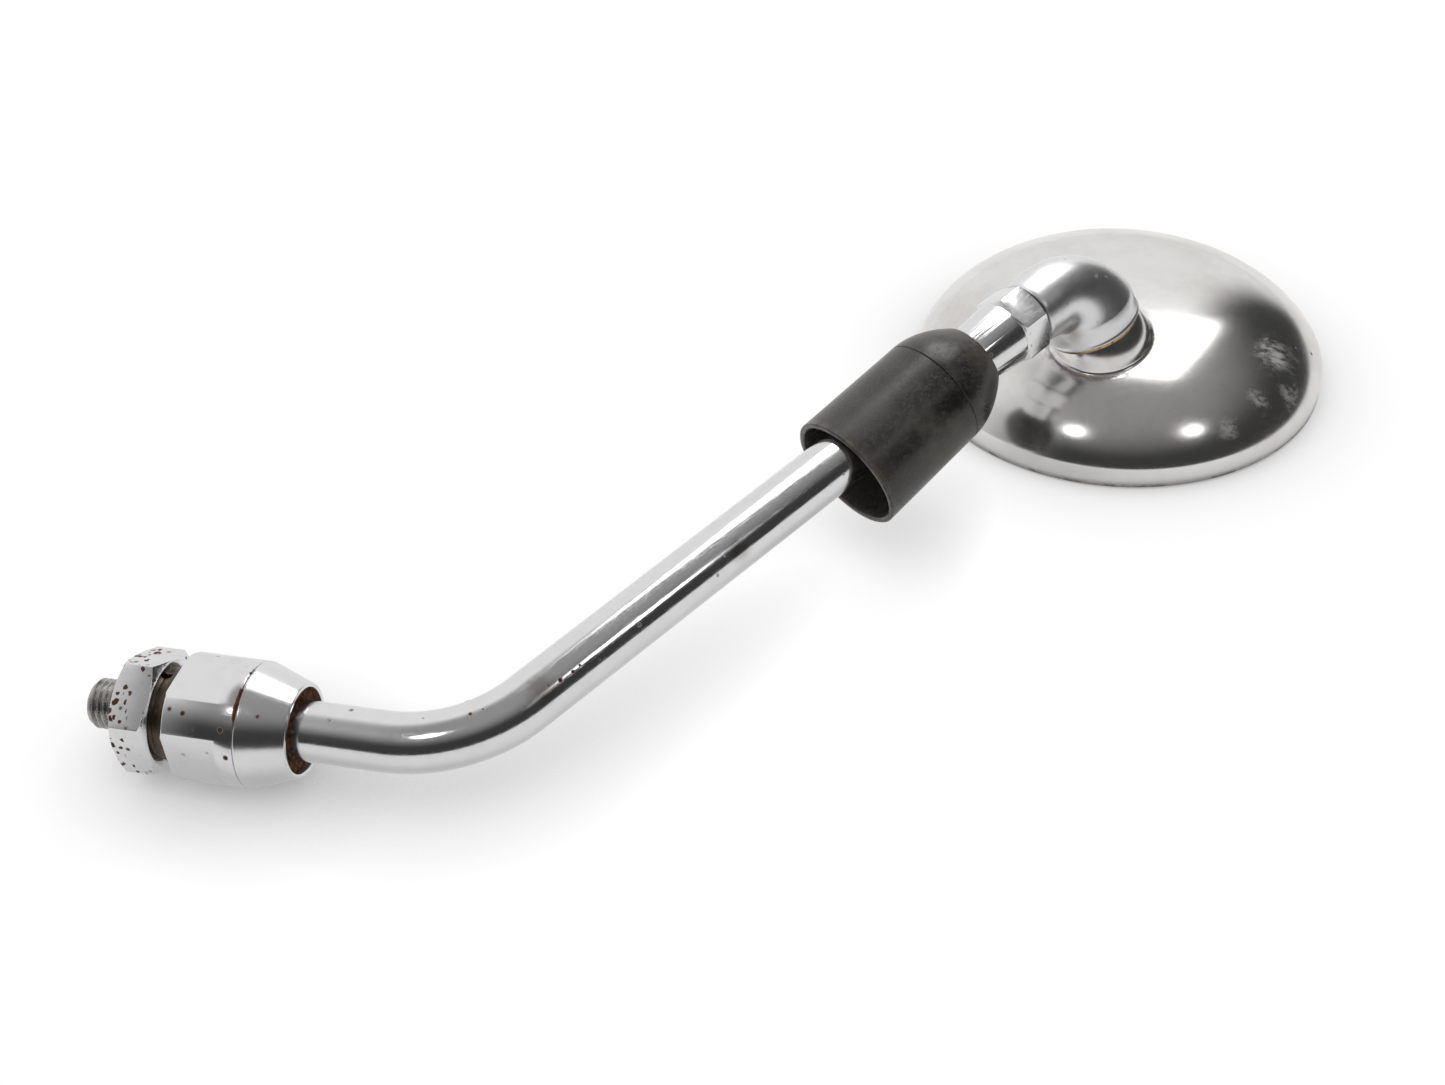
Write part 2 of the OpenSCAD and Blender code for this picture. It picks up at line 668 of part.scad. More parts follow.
// Black seal that fills the gap round the glass and laps over its face
module edge_seal() {
    color([0.06, 0.06, 0.06]) at_mirror() rotate_extrude()
        polygon([[glass_r - seal_lip, 0], [seal_r - seal_round, 0], [seal_r, seal_round],
                 [seal_r, glass_back_z - seal_round], [glass_r, glass_back_z - seal_round],
                 [glass_r, glass_z], [glass_r - seal_lip, glass_z]]);
}

stud();
lock_nut();
plain_washer();
spring_washer();
adapter_body();
cone_collar();
stem_washer();
packing_ring();
stem_rod();
rubber_sleeve();
ferrule_nut();
elbow();
seat_ring();
pivot_stud();
friction_washer();
pivot_spring();
spring_cup();
pivot_nut();
mirror_shell();
backing_plate();
cushion_ring();
mirror_glass();
edge_seal();
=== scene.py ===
"""A round motorcycle mirror on a bent chromed stem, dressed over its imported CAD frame."""

import math

import bmesh
import bpy
from bpy.props import FloatProperty, FloatVectorProperty, PointerProperty
from mathutils import Matrix, Vector


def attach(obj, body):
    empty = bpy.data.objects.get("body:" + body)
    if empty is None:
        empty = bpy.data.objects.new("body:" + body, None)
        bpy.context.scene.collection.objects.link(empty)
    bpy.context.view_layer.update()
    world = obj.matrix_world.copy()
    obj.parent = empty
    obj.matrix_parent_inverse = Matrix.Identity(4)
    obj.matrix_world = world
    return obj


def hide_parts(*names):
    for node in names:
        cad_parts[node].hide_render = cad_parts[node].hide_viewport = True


bl_info = {
    "name": "Motorcycle mirror",
    "version": (1, 0, 0),
    "blender": (4, 5, 0),
    "location": "3D View > Sidebar > Mirror",
    "description": "Builds a round chromed motorcycle mirror with its stem, sleeve and adapter",
    "category": "Object",
}

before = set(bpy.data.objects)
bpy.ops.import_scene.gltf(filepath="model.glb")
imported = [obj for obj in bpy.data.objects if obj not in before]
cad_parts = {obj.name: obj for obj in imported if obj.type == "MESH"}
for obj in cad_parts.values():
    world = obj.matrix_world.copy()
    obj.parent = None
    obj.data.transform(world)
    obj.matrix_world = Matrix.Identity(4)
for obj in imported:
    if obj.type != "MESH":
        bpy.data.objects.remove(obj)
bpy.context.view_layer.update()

MM = 0.001
WHITE = (1.0, 1.0, 1.0, 1.0)

# Fits, small breaks at turned edges and the distances within which points are one
SLIDING = 0.00005
SNUG = 0.00003
BREAK = 0.0003
WELD = 2e-6
TINY = 1e-6
MERGE = 1e-7

# Steps of the stud's thread as shares of the pitch, each with its share of the depth
THREAD_FORM = ((0.0, 0.0), (0.14, 0.0), (0.50, 1.0), (0.64, 1.0))

# Rows of the shell over the hump, its flank and the dome, and how they crowd at the rim
HUMP_ROWS, FLANK_ROWS, DOME_ROWS = 14, 7, 54
SHELL_SEGMENTS = 224
RIM_CROWDING = 1.9

# Where the table lies, its turn and its half width
TABLE_PLACE = (0.0, 0.01275, 0.020)
TABLE_TILT = math.radians(0.44)
TABLE_HALF = 1.4

# Lines in millimetres along which the mirror lies close to the table, with the shadow's reach
SHADOW_LINES = (
    ((0, 0, -6), (0, 0, 45), 62),
    ((-10, 0, 70), (-120, 0, 150), 66),
    ((-150, 0, 150), (-168, 0, 190), 92),
)

# Name, kind, place, power and size of each lamp
LAMPS = (
    ("softbox", "AREA", (-0.54, -0.69, 0.19), 2.8, 0.52),
    ("left lamp", "POINT", (0.219, -0.464, 0.02), 0.35, 0.05),
    ("right lamp", "POINT", (0.092, -0.433, 0.55), 0.35, 0.05),
)
LAMP_TARGET = Vector((-0.08, 0.0, 0.11))

# The photograph's camera, with its width and its focal length in pixels
SENSOR_WIDTH = 36.0
PHOTO_WIDTH = 1445.0
FOCAL_LENGTH = 1900.0
CAMERA_PLACE = Vector((0.22921, -0.26098, 0.18375))
CAMERA_RIGHT = Vector((-0.22207, 0.04883, 0.97381))
CAMERA_BACK = Vector((0.73639, -0.64621, 0.20034))


def length(name, description, default):
    return FloatProperty(name=name, description=description, default=default,
                         subtype="DISTANCE", unit="LENGTH", precision=5)


def angle(name, description, degrees):
    return FloatProperty(name=name, description=description, default=math.radians(degrees),
                         subtype="ANGLE", unit="ROTATION")


def colour(name, description, default):
    return FloatVectorProperty(name=name, description=description, default=default, size=3,
                               subtype="COLOR", min=0.0, max=1.0)


def number(name, description, default):
    return FloatProperty(name=name, description=description, default=default)


class AdapterSizes(bpy.types.PropertyGroup):
    """Sizes of the stud, the nut, the washers and the adapter"""
    stud_diameter: length("Stud", "Diameter over the stud's thread", 0.010)
    stud_free: length("Free stud", "Length of the stud below the lock nut", 0.0085)
    stud_top: length("Stud top", "Height of the stud's hidden end", 0.0203)
    thread_pitch: length("Pitch", "Pitch of the stud's thread", 0.00125)
    thread_depth: length("Thread depth", "Depth of the stud's thread", 0.00062)
    thread_hidden: length("Hidden thread", "Radius of the thread inside the nut", 0.0046)
    stud_chamfer: length("Chamfer", "Chamfer on the end of the stud", 0.0009)
    shoulder: length("Shoulder", "Height of the adapter's lower face", 0.0113)
    body_diameter: length("Body", "Diameter of the adapter", 0.025)
    seam: length("Seam", "Height of the seam above the shoulder", 0.015)
    collar_top: length("Collar top", "Height of the collar's mouth above the shoulder", 0.0243)
    lip_diameter: length("Lip", "Diameter of the collar's lip", 0.0186)
    recess_diameter: length("Recess", "Diameter of the recess in the collar", 0.017)
    recess_depth: length("Recess depth", "Depth of the recess in the collar", 0.0026)
    spigot_diameter: length("Spigot", "Diameter of the spigot inside the collar", 0.0205)
    washer_top: length("Washer top", "Height of the hidden washer above the shoulder", 0.0198)
    packing_height: length("Packing", "Thickness of the packing ring", 0.0013)


class StemSizes(bpy.types.PropertyGroup):
    """Sizes of the bent stem, its nut and its sleeve"""
    diameter: length("Stem", "Diameter of the stem", 0.012)
    head_diameter: length("Head", "Diameter of the head on the stem's lower end", 0.016)
    head_bottom: length("Head bottom", "Height of the head above the shoulder", 0.01575)
    head_top: length("Head top", "Height of the head's upper face above the shoulder", 0.01895)
    corner: length("Corner", "Height above the shoulder at which the two axes cross", 0.0566)
    bend: angle("Bend", "Angle between the stud and the long part of the stem", 55.5)
    lean: angle("Lean", "Direction in which the stem leans", 189.5)
    bend_radius: length("Bend radius", "Radius of the bend at the stem's axis", 0.030)
    length: length("Length", "Length from the bend's corner to the elbow's corner", 0.1778)
    thread_diameter: length("Stem thread", "Diameter of the screwed end", 0.010)
    shoulder_along: length("Shoulder", "Where the screwed end begins, along the stem", 0.14698)
    end_along: length("End", "Where the stem ends, along the stem", 0.17168)
    sleeve_mouth: length("Mouth", "Outer diameter of the sleeve at its mouth", 0.0274)
    sleeve_diameter: length("Sleeve", "Outer diameter of the sleeve at its moulding line", 0.0262)
    sleeve_length: length("Sleeve length", "Length of the rubber sleeve", 0.0399)
    sleeve_wall: length("Sleeve wall", "Wall of the rubber sleeve", 0.0013)
    sleeve_nose: length("Nose", "Length of the sleeve's rounded nose", 0.0123)
    nose_wall: length("Nose wall", "Wall of the nose, along the sleeve", 0.0022)
    nose_power: number("Nose form", "Power of the nose's rounded outline", 1.95)
    sleeve_tip: length("Tip", "Diameter at the tip of the nose", 0.0166)
    sleeve_bore: length("Bore", "Bore at the tip of the nose", 0.0144)
    sleeve_along: length("Sleeve place", "Where the nose ends, along the stem", 0.14277)
    sleeve_droop: angle("Droop", "Angle by which the sleeve hangs off the stem's line", 8.2)


class ElbowSizes(bpy.types.PropertyGroup):
    """Sizes of the elbow and of the ball joint under it"""
    neck_diameter: length("Neck", "Diameter of the neck at the ferrule nut", 0.0154)
    neck_swell: length("Swell", "Growth of the neck's radius up to the turn", 0.0005)
    neck_length: length("Neck length", "Length of the straight neck", 0.0057)
    turn: angle("Turn", "Turn between the stem and the open end", 81.5)
    roll: angle("Roll", "Angle of the elbow about the stem", -110.5)
    fillet: length("Fillet", "Radius on the inner side of the turn", 0.0012)
    bell_diameter: length("Bell", "Diameter of the open end", 0.022)
    bell_length: length("Bell length", "From the elbow's corner to its open end", 0.013)
    lip: length("Lip", "Height of the bead round the open end", 0.001)
    ball_radius: length("Hump", "Radius of the hump on the shell", 0.0116)
    ball_drop: length("Drop", "From the elbow's corner to the hump's middle", 0.0194)
    ball_hole: length("Hole", "Radius of the hole in the hump", 0.0072)
    seat_height: length("Seat ring", "Thickness of the seat ring", 0.0008)
    seat_inset: length("Seat inset", "Inset of the seat ring from the elbow's edge", 0.0004)
    pivot_diameter: length("Pivot", "Diameter of the pivot stud", 0.005)


class HeadSizes(bpy.types.PropertyGroup):
    """Sizes of the shell, the glass and the seal"""
    diameter: length("Shell", "Diameter over the rim", 0.097)
    band: length("Band", "Height of the upright band at the rim", 0.005)
    dome: length("Dome", "Height of the dome above the band", 0.0185)
    dome_power: number("Dome form", "Power of the radius in the dome's outline", 3.0)
    dome_root: number("Dome fullness", "Power of the dome's whole outline", 0.75)
    flank: length("Flank", "Width of the blend round the hump", 0.0011)
    wall: length("Wall", "Thickness of the pressed steel", 0.0009)
    rim_step: length("Rim step", "Step from the seal's face to the shell's edge", 0.0003)
    boss_offset: length("Offset", "From the hump to the middle of the mirror", 0.0205)
    turn: angle("Turn", "Direction from the hump to the middle of the mirror", 169.0)
    ball_height: length("Ball height", "Height of the hump's middle above the rim", 0.020303)
    glass_step: length("Glass step", "From the seal's face to the glass", 0.0006)
    glass: length("Glass", "Thickness of the glass", 0.003)
    seal: length("Seal", "Thickness of the seal round the glass", 0.0008)
    seal_lip: length("Seal lip", "Width of the lip over the face of the glass", 0.0005)


class Finishes(bpy.types.PropertyGroup):
    """Colours of the finishes"""
    chrome: colour("Chrome", "Polished chrome on the stem and its fittings", (0.80, 0.80, 0.81))
    shell: colour("Shell chrome", "Hazed chrome on the shell", (0.80, 0.795, 0.785))
    shell_haze: colour("Shell haze", "Clouds of haze on the shell", (0.70, 0.675, 0.64))
    # The dulled colour also lightly paints the shade spot on the stem at the collar's mouth.
    dulled_and_shaded: colour("Dulled chrome", "Chrome under a film of dirt", (0.50, 0.46, 0.41))
    # The stain colour also paints the shade on the stem's top at the collar's mouth.
    stain_and_shade: colour("Stain", "Dark stains on the chrome", (0.34, 0.30, 0.25))
    washer: colour("Washers", "Greasy steel of the washers", (0.125, 0.10, 0.072))
    spring: colour("Spring steel", "Steel of the hidden spring", (0.42, 0.42, 0.42))
    foam: colour("Foam", "Cushion behind the glass", (0.075, 0.073, 0.070))
    steel: colour("Bare steel", "Bare steel of the stud", (0.50, 0.49, 0.47))
    zinc: colour("Zinc plate", "Plated steel of the hidden hardware", (0.58, 0.57, 0.53))
    brass: colour("Seat brass", "Tarnished brass of the seat ring", (0.55, 0.36, 0.14))
    rust: colour("Rust", "Dark rust in seams and pits", (0.085, 0.032, 0.014))
    rust_light: colour("Light rust", "Dry rust on the surface", (0.30, 0.125, 0.045))
    rubber: colour("Rubber", "Worn black rubber", (0.054, 0.049, 0.045))
    dust: colour("Dust", "Dust and chalking on the rubber", (0.20, 0.175, 0.145))
    glass: colour("Mirror", "Silvered glass", (0.86, 0.89, 0.88))
    seal: colour("Seal", "Black seal round the glass", (0.018, 0.018, 0.019))


# Placing

def shift(x, y, z):
    return Matrix.Translation((x, y, z))


def about(axis, radians):
    return Matrix.Rotation(radians, 4, axis)


def adapter_sizes():
    return bpy.context.scene.mirror_adapter


def stem_sizes():
    return bpy.context.scene.mirror_stem


def elbow_sizes():
    return bpy.context.scene.mirror_elbow


def head_sizes():
    return bpy.context.scene.mirror_head


def finishes():
    return bpy.context.scene.mirror_finishes


def on_stem(along=0.0):
    s = stem_sizes()
    corner = shift(0, 0, adapter_sizes().shoulder + s.corner)
    return corner @ about("Z", s.lean) @ about("Y", s.bend) @ shift(0, 0, along)


def at_elbow():
    e = elbow_sizes()
    return on_stem(stem_sizes().length) @ about("Z", e.roll) @ about("Y", e.turn)


def at_pivot():
    return at_elbow() @ shift(0, 0, elbow_sizes().ball_drop)


def at_hump():
    return Matrix.Translation(at_pivot().to_translation()) @ about("X", math.pi / 2)


def at_mirror():
    h = head_sizes()
    return at_hump() @ about("Z", h.turn) @ shift(h.boss_offset, 0, -h.ball_height)


# Modelling

def turned(outline, steps, ease=0.0, closed=True):
    """Spins a half outline of (radius, height) pairs about Z, with its corners eased."""
    bm = bmesh.new()
    points = [bm.verts.new((r, 0, z)) for r, z in outline]
    for pair in zip(points, points[1:] + points[:1] if closed else points[1:]):
        bm.edges.new(pair)
    if ease:
        corners = [v for v in points if len(v.link_edges) == 2 and v.co.x > TINY]
        bmesh.ops.bevel(bm, geom=corners, offset=ease, offset_type="OFFSET", segments=3,
                        profile=0.5, affect="VERTICES", material=-1, clamp_overlap=True)
    bmesh.ops.spin(bm, geom=bm.verts[:] + bm.edges[:], cent=(0, 0, 0), axis=(0, 0, 1),
                   angle=2 * math.pi, steps=steps, use_merge=True)
    bmesh.ops.remove_doubles(bm, verts=bm.verts, dist=MERGE)
    bmesh.ops.recalc_face_normals(bm, faces=bm.faces)
    return bm


def extruded(bm, edges):
    """Extrudes an open border where it is and returns the new corners and edges."""
    made = bmesh.ops.extrude_edge_only(bm, edges=edges)["geom"]
    fresh = [g for g in made if isinstance(g, bmesh.types.BMVert)]
    return fresh, [g for g in made if isinstance(g, bmesh.types.BMEdge)
                   and all(v in fresh for v in g.verts)]


def swept(rings, segments):
    """Extrudes a unit circle from one ring's matrix to the next and closes both ends."""
    bm = bmesh.new()
    first = bmesh.ops.create_circle(bm, segments=segments, radius=1.0)["verts"]
    bmesh.ops.transform(bm, matrix=rings[0], verts=first)
    edges = bm.edges[:]
    for before, after in zip(rings, rings[1:]):
        fresh, edges = extruded(bm, edges)
        bmesh.ops.transform(bm, matrix=after @ before.inverted(), verts=fresh)
    bmesh.ops.holes_fill(bm, edges=[e for e in bm.edges if e.is_boundary], sides=segments)
    bmesh.ops.recalc_face_normals(bm, faces=bm.faces)
    return bm


def ring(place, radius):
    return place @ Matrix.Diagonal((radius, radius, radius, 1.0))


def rings_on(place, pairs):
    """Rings on a placed frame's Z axis, from (height, radius) pairs."""
    return [ring(place @ shift(0, 0, z), radius) for z, radius in pairs]


def added(name, data):
    """Adds an object to the scene."""
    made = bpy.data.objects.new(name, data)
    bpy.context.scene.collection.objects.link(made)
    return made


def added_mesh(name, bm, material):
    mesh = bpy.data.meshes.new(name)
    bm.to_mesh(mesh)
    bm.free()
    mesh.materials.append(material)
    return added(name, mesh)


def finished(name, bm, material, body, node, smooth=32.0, place=None):
    """Makes a piece of a bmesh, smooths it and ties it to the frame."""
    if place is not None:
        bmesh.ops.transform(bm, matrix=place, verts=bm.verts)
    piece = added_mesh(name, bm, material)
    piece.data.shade_smooth()
    piece.data.set_sharp_from_angle(angle=math.radians(smooth))
    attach(piece, body)
    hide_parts(node)
    return piece


def softened(node, name, material, body, width, segments=2, sharp=18.0):
    """Copies a node of the frame and rounds the edges that a hand would feel."""
    bm = bmesh.new()
    bm.from_mesh(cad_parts[node].data)
    bmesh.ops.remove_doubles(bm, verts=bm.verts, dist=WELD)
    bmesh.ops.dissolve_limit(bm, angle_limit=math.radians(0.6), verts=bm.verts, edges=bm.edges)
    limit = math.radians(sharp)
    edges = [e for e in bm.edges if len(e.link_faces) == 2 and e.calc_face_angle(0.0) > limit]
    bmesh.ops.bevel(bm, geom=edges, offset=width, offset_type="OFFSET", segments=segments,
                    profile=0.5, affect="EDGES", material=-1, clamp_overlap=True)
    return finished(name, bm, material, body, node)


def dressed(node, material):
    """Gives a carried-over node its material."""
    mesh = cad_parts[node].data
    mesh.materials.clear()
    mesh.materials.append(material)


# Shader maths

class Field:
    """A shader's socket that Python's operators combine."""

    def __init__(self, shader, socket):
        self.shader = shader
        self.socket = socket

    def math(self, operation, *others):
        return self.shader.node("Math", {"operation": operation}, dict(enumerate((self, *others))))

    def __add__(self, other):
        return self.math("ADD", other)

    def __sub__(self, other):
        return self.math("SUBTRACT", other)

    def __mul__(self, other):
        return self.math("MULTIPLY", other)

    def __rsub__(self, other):
        return self.shader.node("Math", {"operation": "SUBTRACT"}, {0: other, 1: self})

    def __abs__(self):
        return self.math("ABSOLUTE")

    __radd__ = __add__
    __rmul__ = __mul__

    def between(self, low, high):
        """0 below low, 1 above high and a smooth step between, or the reverse."""
        return self.shader.node("MapRange", {"interpolation_type": "SMOOTHSTEP"},
                                {"Value": self, "From Min": low, "From Max": high})

    def over(self, other):
        """The larger of two masks."""
        return self.math("MAXIMUM", other)


class Shader:
    """A node material, or the world, that is written as expressions."""

    def __init__(self, name, world=None):
        self.material = world or bpy.data.materials.new(name)
        self.material.use_nodes = True
        self.tree = self.material.node_tree
        self.tree.nodes.clear()
        self.place = self.node("TexCoord", output="Generated" if world else "Object")

    def node(self, kind, settings=None, sockets=None, output=0):
        """Adds a node, sets it, fills or links its sockets and returns one of its outputs."""
        made = self.tree.nodes.new("ShaderNode" + kind)
        for key, value in (settings or {}).items():
            setattr(made, key, value)
        for key, value in (sockets or {}).items():
            if isinstance(value, Field):
                self.tree.links.new(value.socket, made.inputs[key])
            else:
                made.inputs[key].default_value = value
        return Field(self, made.outputs[output])

    def vector(self, operation, a, b, output=0):
        return self.node("VectorMath", {"operation": operation}, {0: a, 1: b}, output)

    def apart(self, a, b):
        """The distance between two points."""
        return self.vector("DISTANCE", a, b, "Value")

    def noise(self, scale, detail=3.0, rough=0.5, place=None):
        return self.node("TexNoise", {}, {"Vector": place or self.place, "Scale": scale,
                                          "Detail": detail, "Roughness": rough}, "Fac")

    def cells(self, scale, output="Distance"):
        return self.node("TexVoronoi", {}, {"Vector": self.place, "Scale": scale}, output)

    def channel(self, shade, index=0):
        return self.node("SeparateColor", {}, {"Color": shade}, index)

    def axis(self, vector, index):
        return self.node("SeparateXYZ", {}, {"Vector": vector}, index)

    def mix(self, factor, a, b):
        a = a if isinstance(a, Field) else (*a, 1.0)
        b = b if isinstance(b, Field) else (*b, 1.0)
        return self.node("Mix", {"data_type": "RGBA"}, {0: factor, 6: a, 7: b}, 2)

    def laid(self, matrix):
        """Object coordinates seen from a placed frame."""
        location, rotation, _ = matrix.decompose()
        return self.node("Mapping", {"vector_type": "TEXTURE"},
                         {"Vector": self.place, "Location": location,
                          "Rotation": rotation.to_euler()})

    def drawn(self, matrix, stretch, detail, rough):
        """Noise that is drawn out along the axes of a placed frame."""
        return self.noise(1.0, detail, rough, self.vector("MULTIPLY", self.laid(matrix), stretch))

    def hairlines(self, matrix, stretch, width, detail=4.0, rough=0.6):
        """Fine scratches, where drawn out noise crosses its middle."""
        return abs(self.drawn(matrix, stretch, detail, rough) - 0.5).between(width, 0.0)

    def spot(self, centre, radius, wobble=0.35, soft=0.35, scale=700.0):
        """A ragged round patch about a point on the surface, in millimetres."""
        away = self.apart(self.place, Vector(centre) * MM)
        ragged = away + (self.noise(scale, 2.0) - 0.5) * (wobble * 2.0 * radius * MM)
        return ragged.between(radius * MM * (1.0 + soft), radius * MM * (1.0 - soft))

    def finish(self, shade, metallic, roughness, height, strength, distance):
        """Ends the material with its surface, bumped by a height, and returns it."""
        bump = self.node("Bump", {}, {"Height": height, "Strength": strength,
                                      "Distance": distance})
        self.wire(self.node("BsdfPrincipled", {}, {
            "Base Color": shade, "Metallic": metallic, "Roughness": roughness, "Normal": bump}))
        return self.material

    def wire(self, surface, kind="Material"):
        out = self.tree.nodes.new("ShaderNodeOutput" + kind)
        self.tree.links.new(surface.socket, out.inputs["Surface"])


def union(fields):
    """The largest of the masks, or 0 where there are none."""
    total = 0.0
    for field in fields:
        total = field.over(total)
    return total


# Finishes

def polished_chrome(name, lay, pitting, haze, scratches, stains_and_shade=(), pits=(), seams=(),
                    grime=0.0, turning=0.0):
    """Old decorative chrome: bright, finely scratched, with pits and rust where it failed."""
    f = finishes()
    s = Shader(name)
    fine = s.hairlines(lay, (2600.0, 2600.0, 110.0), 0.012, rough=0.65) * 0.6
    coarse = s.hairlines(lay @ about("X", 0.9), (1700.0, 1700.0, 70.0), 0.006, 3.0)
    scuffed = fine.over(coarse * s.noise(60.0, 2.0).between(0.45, 0.65)) * scratches
    cloud = s.noise(170.0, 4.0, 0.6)
    broad = s.noise(38.0, 2.0)
    chosen = s.channel(s.cells(620.0, "Color")).between(1.0 - 0.20 * pitting,
                                                        1.0 - 0.16 * pitting)
    dots = s.cells(620.0).between(0.42, 0.16) * chosen * cloud.between(0.46, 0.60)
    crust = s.noise(420.0, 5.0, 0.7).between(0.67, 0.72) * cloud.between(0.5, 0.62)
    rusted = union([dots, crust * min(1.0, pitting), *(s.spot(*pit) for pit in pits),
                    *(mask(s) for mask in seams)])
    lathe = s.drawn(lay, (45.0, 45.0, 4200.0), 3.0, 0.7) * turning
    # Stains, with one spot of painted shade on the stem's top at the collar's mouth; both darken
    # and dull the chrome.
    stain_and_shade = union([s.spot(*patch, 0.6, 0.8, 260.0) for patch in stains_and_shade]) * 0.55
    dirt = s.noise(90.0, 4.0, 0.6).between(0.55, 0.75) * grime
    dulled_and_shaded = (cloud.between(0.35, 0.75) * 0.5).over(stain_and_shade)
    metal = s.mix(dulled_and_shaded * 0.22 + dirt, f.chrome, f.dulled_and_shaded)
    metal = s.mix(stain_and_shade, metal, f.stain_and_shade)
    rust = s.mix(s.noise(900.0, 3.0).between(0.4, 0.65) * 0.5, f.rust, f.rust_light)
    rough = haze + dulled_and_shaded * 0.06 + scuffed * 0.16 + dirt * 0.25 + rusted * 0.62 + lathe * 0.10
    height = (broad * 0.35 + scuffed * -0.05 + rusted * -0.35 + lathe * 0.30
              + s.noise(1500.0, 2.0) * rusted * 0.4)
    return s.finish(s.mix(rusted, metal, rust), 1.0 - rusted * 0.95, rough, height, 0.5, 0.0001)


def shell_chrome():
    """Chrome of the shell: soft haze, rub marks, fine wandering scratches, and painted shade at
    the rim's edge and round the hump's foot.
    """
    f = finishes()
    s = Shader("shell chrome")
    lay = at_mirror()
    cloud = s.noise(55.0, 5.0, 0.65)
    broad = s.noise(21.0, 2.0)
    along, across = lay @ about("Z", 0.6), lay @ about("Z", -0.5)
    hair = s.hairlines(along, (900.0, 60.0, 400.0), 0.010, rough=0.7).over(
        s.hairlines(across, (70.0, 1100.0, 400.0), 0.008, rough=0.7))
    scuffs = union([s.spot(centre, radius, 1.2, 0.9, 240.0) for centre, radius in (
        ((-153.1, -2.0, 215.7), 4.2), ((-146.8, 3.1, 219.8), 2.6), ((-139.3, 1.3, 212.9), 2.4),
        ((-131.0, 4.0, 206.0), 2.0))])
    worn = scuffs * s.drawn(along, (620.0, 190.0, 300.0), 5.0, 0.75).between(0.38, 0.66)
    chosen = s.channel(s.cells(300.0, "Color")).between(0.93, 0.95)
    specks = s.cells(300.0).between(0.16, 0.06) * chosen
    edge = s.axis(s.laid(lay), 2)
    rim_dirt = edge.between(0.0016, 0.0002) * s.noise(260.0, 4.0, 0.7).between(0.48, 0.62)
    boss = s.apart(s.place, at_pivot().to_translation())
    # Painted shade: a patchy dark brown ring in the crease round the hump's foot.
    foot = abs(boss - 0.0128).between(0.0014, 0.0) * s.noise(300.0, 4.0).between(0.40, 0.62)
    # Rust specks, dirt at the rim and the painted shade at the hump's foot, in one dark brown.
    dark = specks.over(rim_dirt * 0.8).over(foot * 0.45)
    tone = s.mix(cloud.between(0.30, 0.72), f.shell, f.shell_haze)
    tone = s.mix(worn * 0.4, tone, (0.80, 0.79, 0.77))
    # Painted shade: the chrome is greyed down within about 2 mm of the rim's edge, all the way
    # round.
    tone = s.mix(edge.between(0.0022, 0.0003) * 0.75, tone, (0.22, 0.215, 0.21))
    rough = 0.15 + cloud.between(0.35, 0.8) * 0.07 + hair * 0.08 + worn * 0.42 + dark * 0.45
    height = broad * 0.55 + s.noise(75.0, 2.0) * 0.10 + worn * -0.05 + dark * 0.12
    return s.finish(s.mix(dark, tone, (0.16, 0.10, 0.06)), 1.0 - dark * 0.8 - worn * 0.25,
                    rough, height, 0.5, 0.0001)


def worn_steel(name, shade, rust_share, rough):
    """Bare or plated steel with a thin skin of grease and rust, made once for each name."""
    if name in bpy.data.materials:
        return bpy.data.materials[name]
    f = finishes()
    s = Shader(name)
    cloud = s.noise(240.0, 5.0, 0.65)
    rust = cloud.between(0.72 - 0.3 * rust_share, 0.80 - 0.25 * rust_share)
    grain = s.noise(2400.0, 3.0)
    base = s.mix(s.noise(500.0, 3.0).between(0.35, 0.7) * 0.5, shade,
                 tuple(0.5 * c for c in shade))
    return s.finish(s.mix(rust * 0.85, base, s.mix(grain, f.rust, f.rust_light)),
                    1.0 - rust * 0.9, rough + rust * 0.4 + grain * 0.08,
                    grain * 0.25 + rust * 0.6, 0.45, 0.00012)


def spring_steel():
    return worn_steel("spring steel", finishes().spring, 0.3, 0.35)


def zinc_plate():
    return worn_steel("zinc plate", finishes().zinc, 0.15, 0.33)


def tarnished_brass():
    f = finishes()
    s = Shader("seat brass")
    cloud = s.noise(520.0, 4.0, 0.6)
    dark = cloud.between(0.52, 0.68)
    return s.finish(s.mix(dark, f.brass, (0.13, 0.07, 0.03)), 1.0 - dark * 0.7,
                    0.26 + dark * 0.4, cloud, 0.3, 0.0001)


def packed_rust():
    f = finishes()
    s = Shader("packed rust")
    lumps = s.noise(850.0, 6.0, 0.7)
    grease = s.noise(350.0, 3.0).between(0.5, 0.66)
    rust = s.mix(lumps.between(0.40, 0.65), f.rust, f.rust_light)
    return s.finish(s.mix(grease, rust, (0.030, 0.020, 0.014)), 0.0, 0.86 - grease * 0.42,
                    lumps, 0.9, 0.0004)


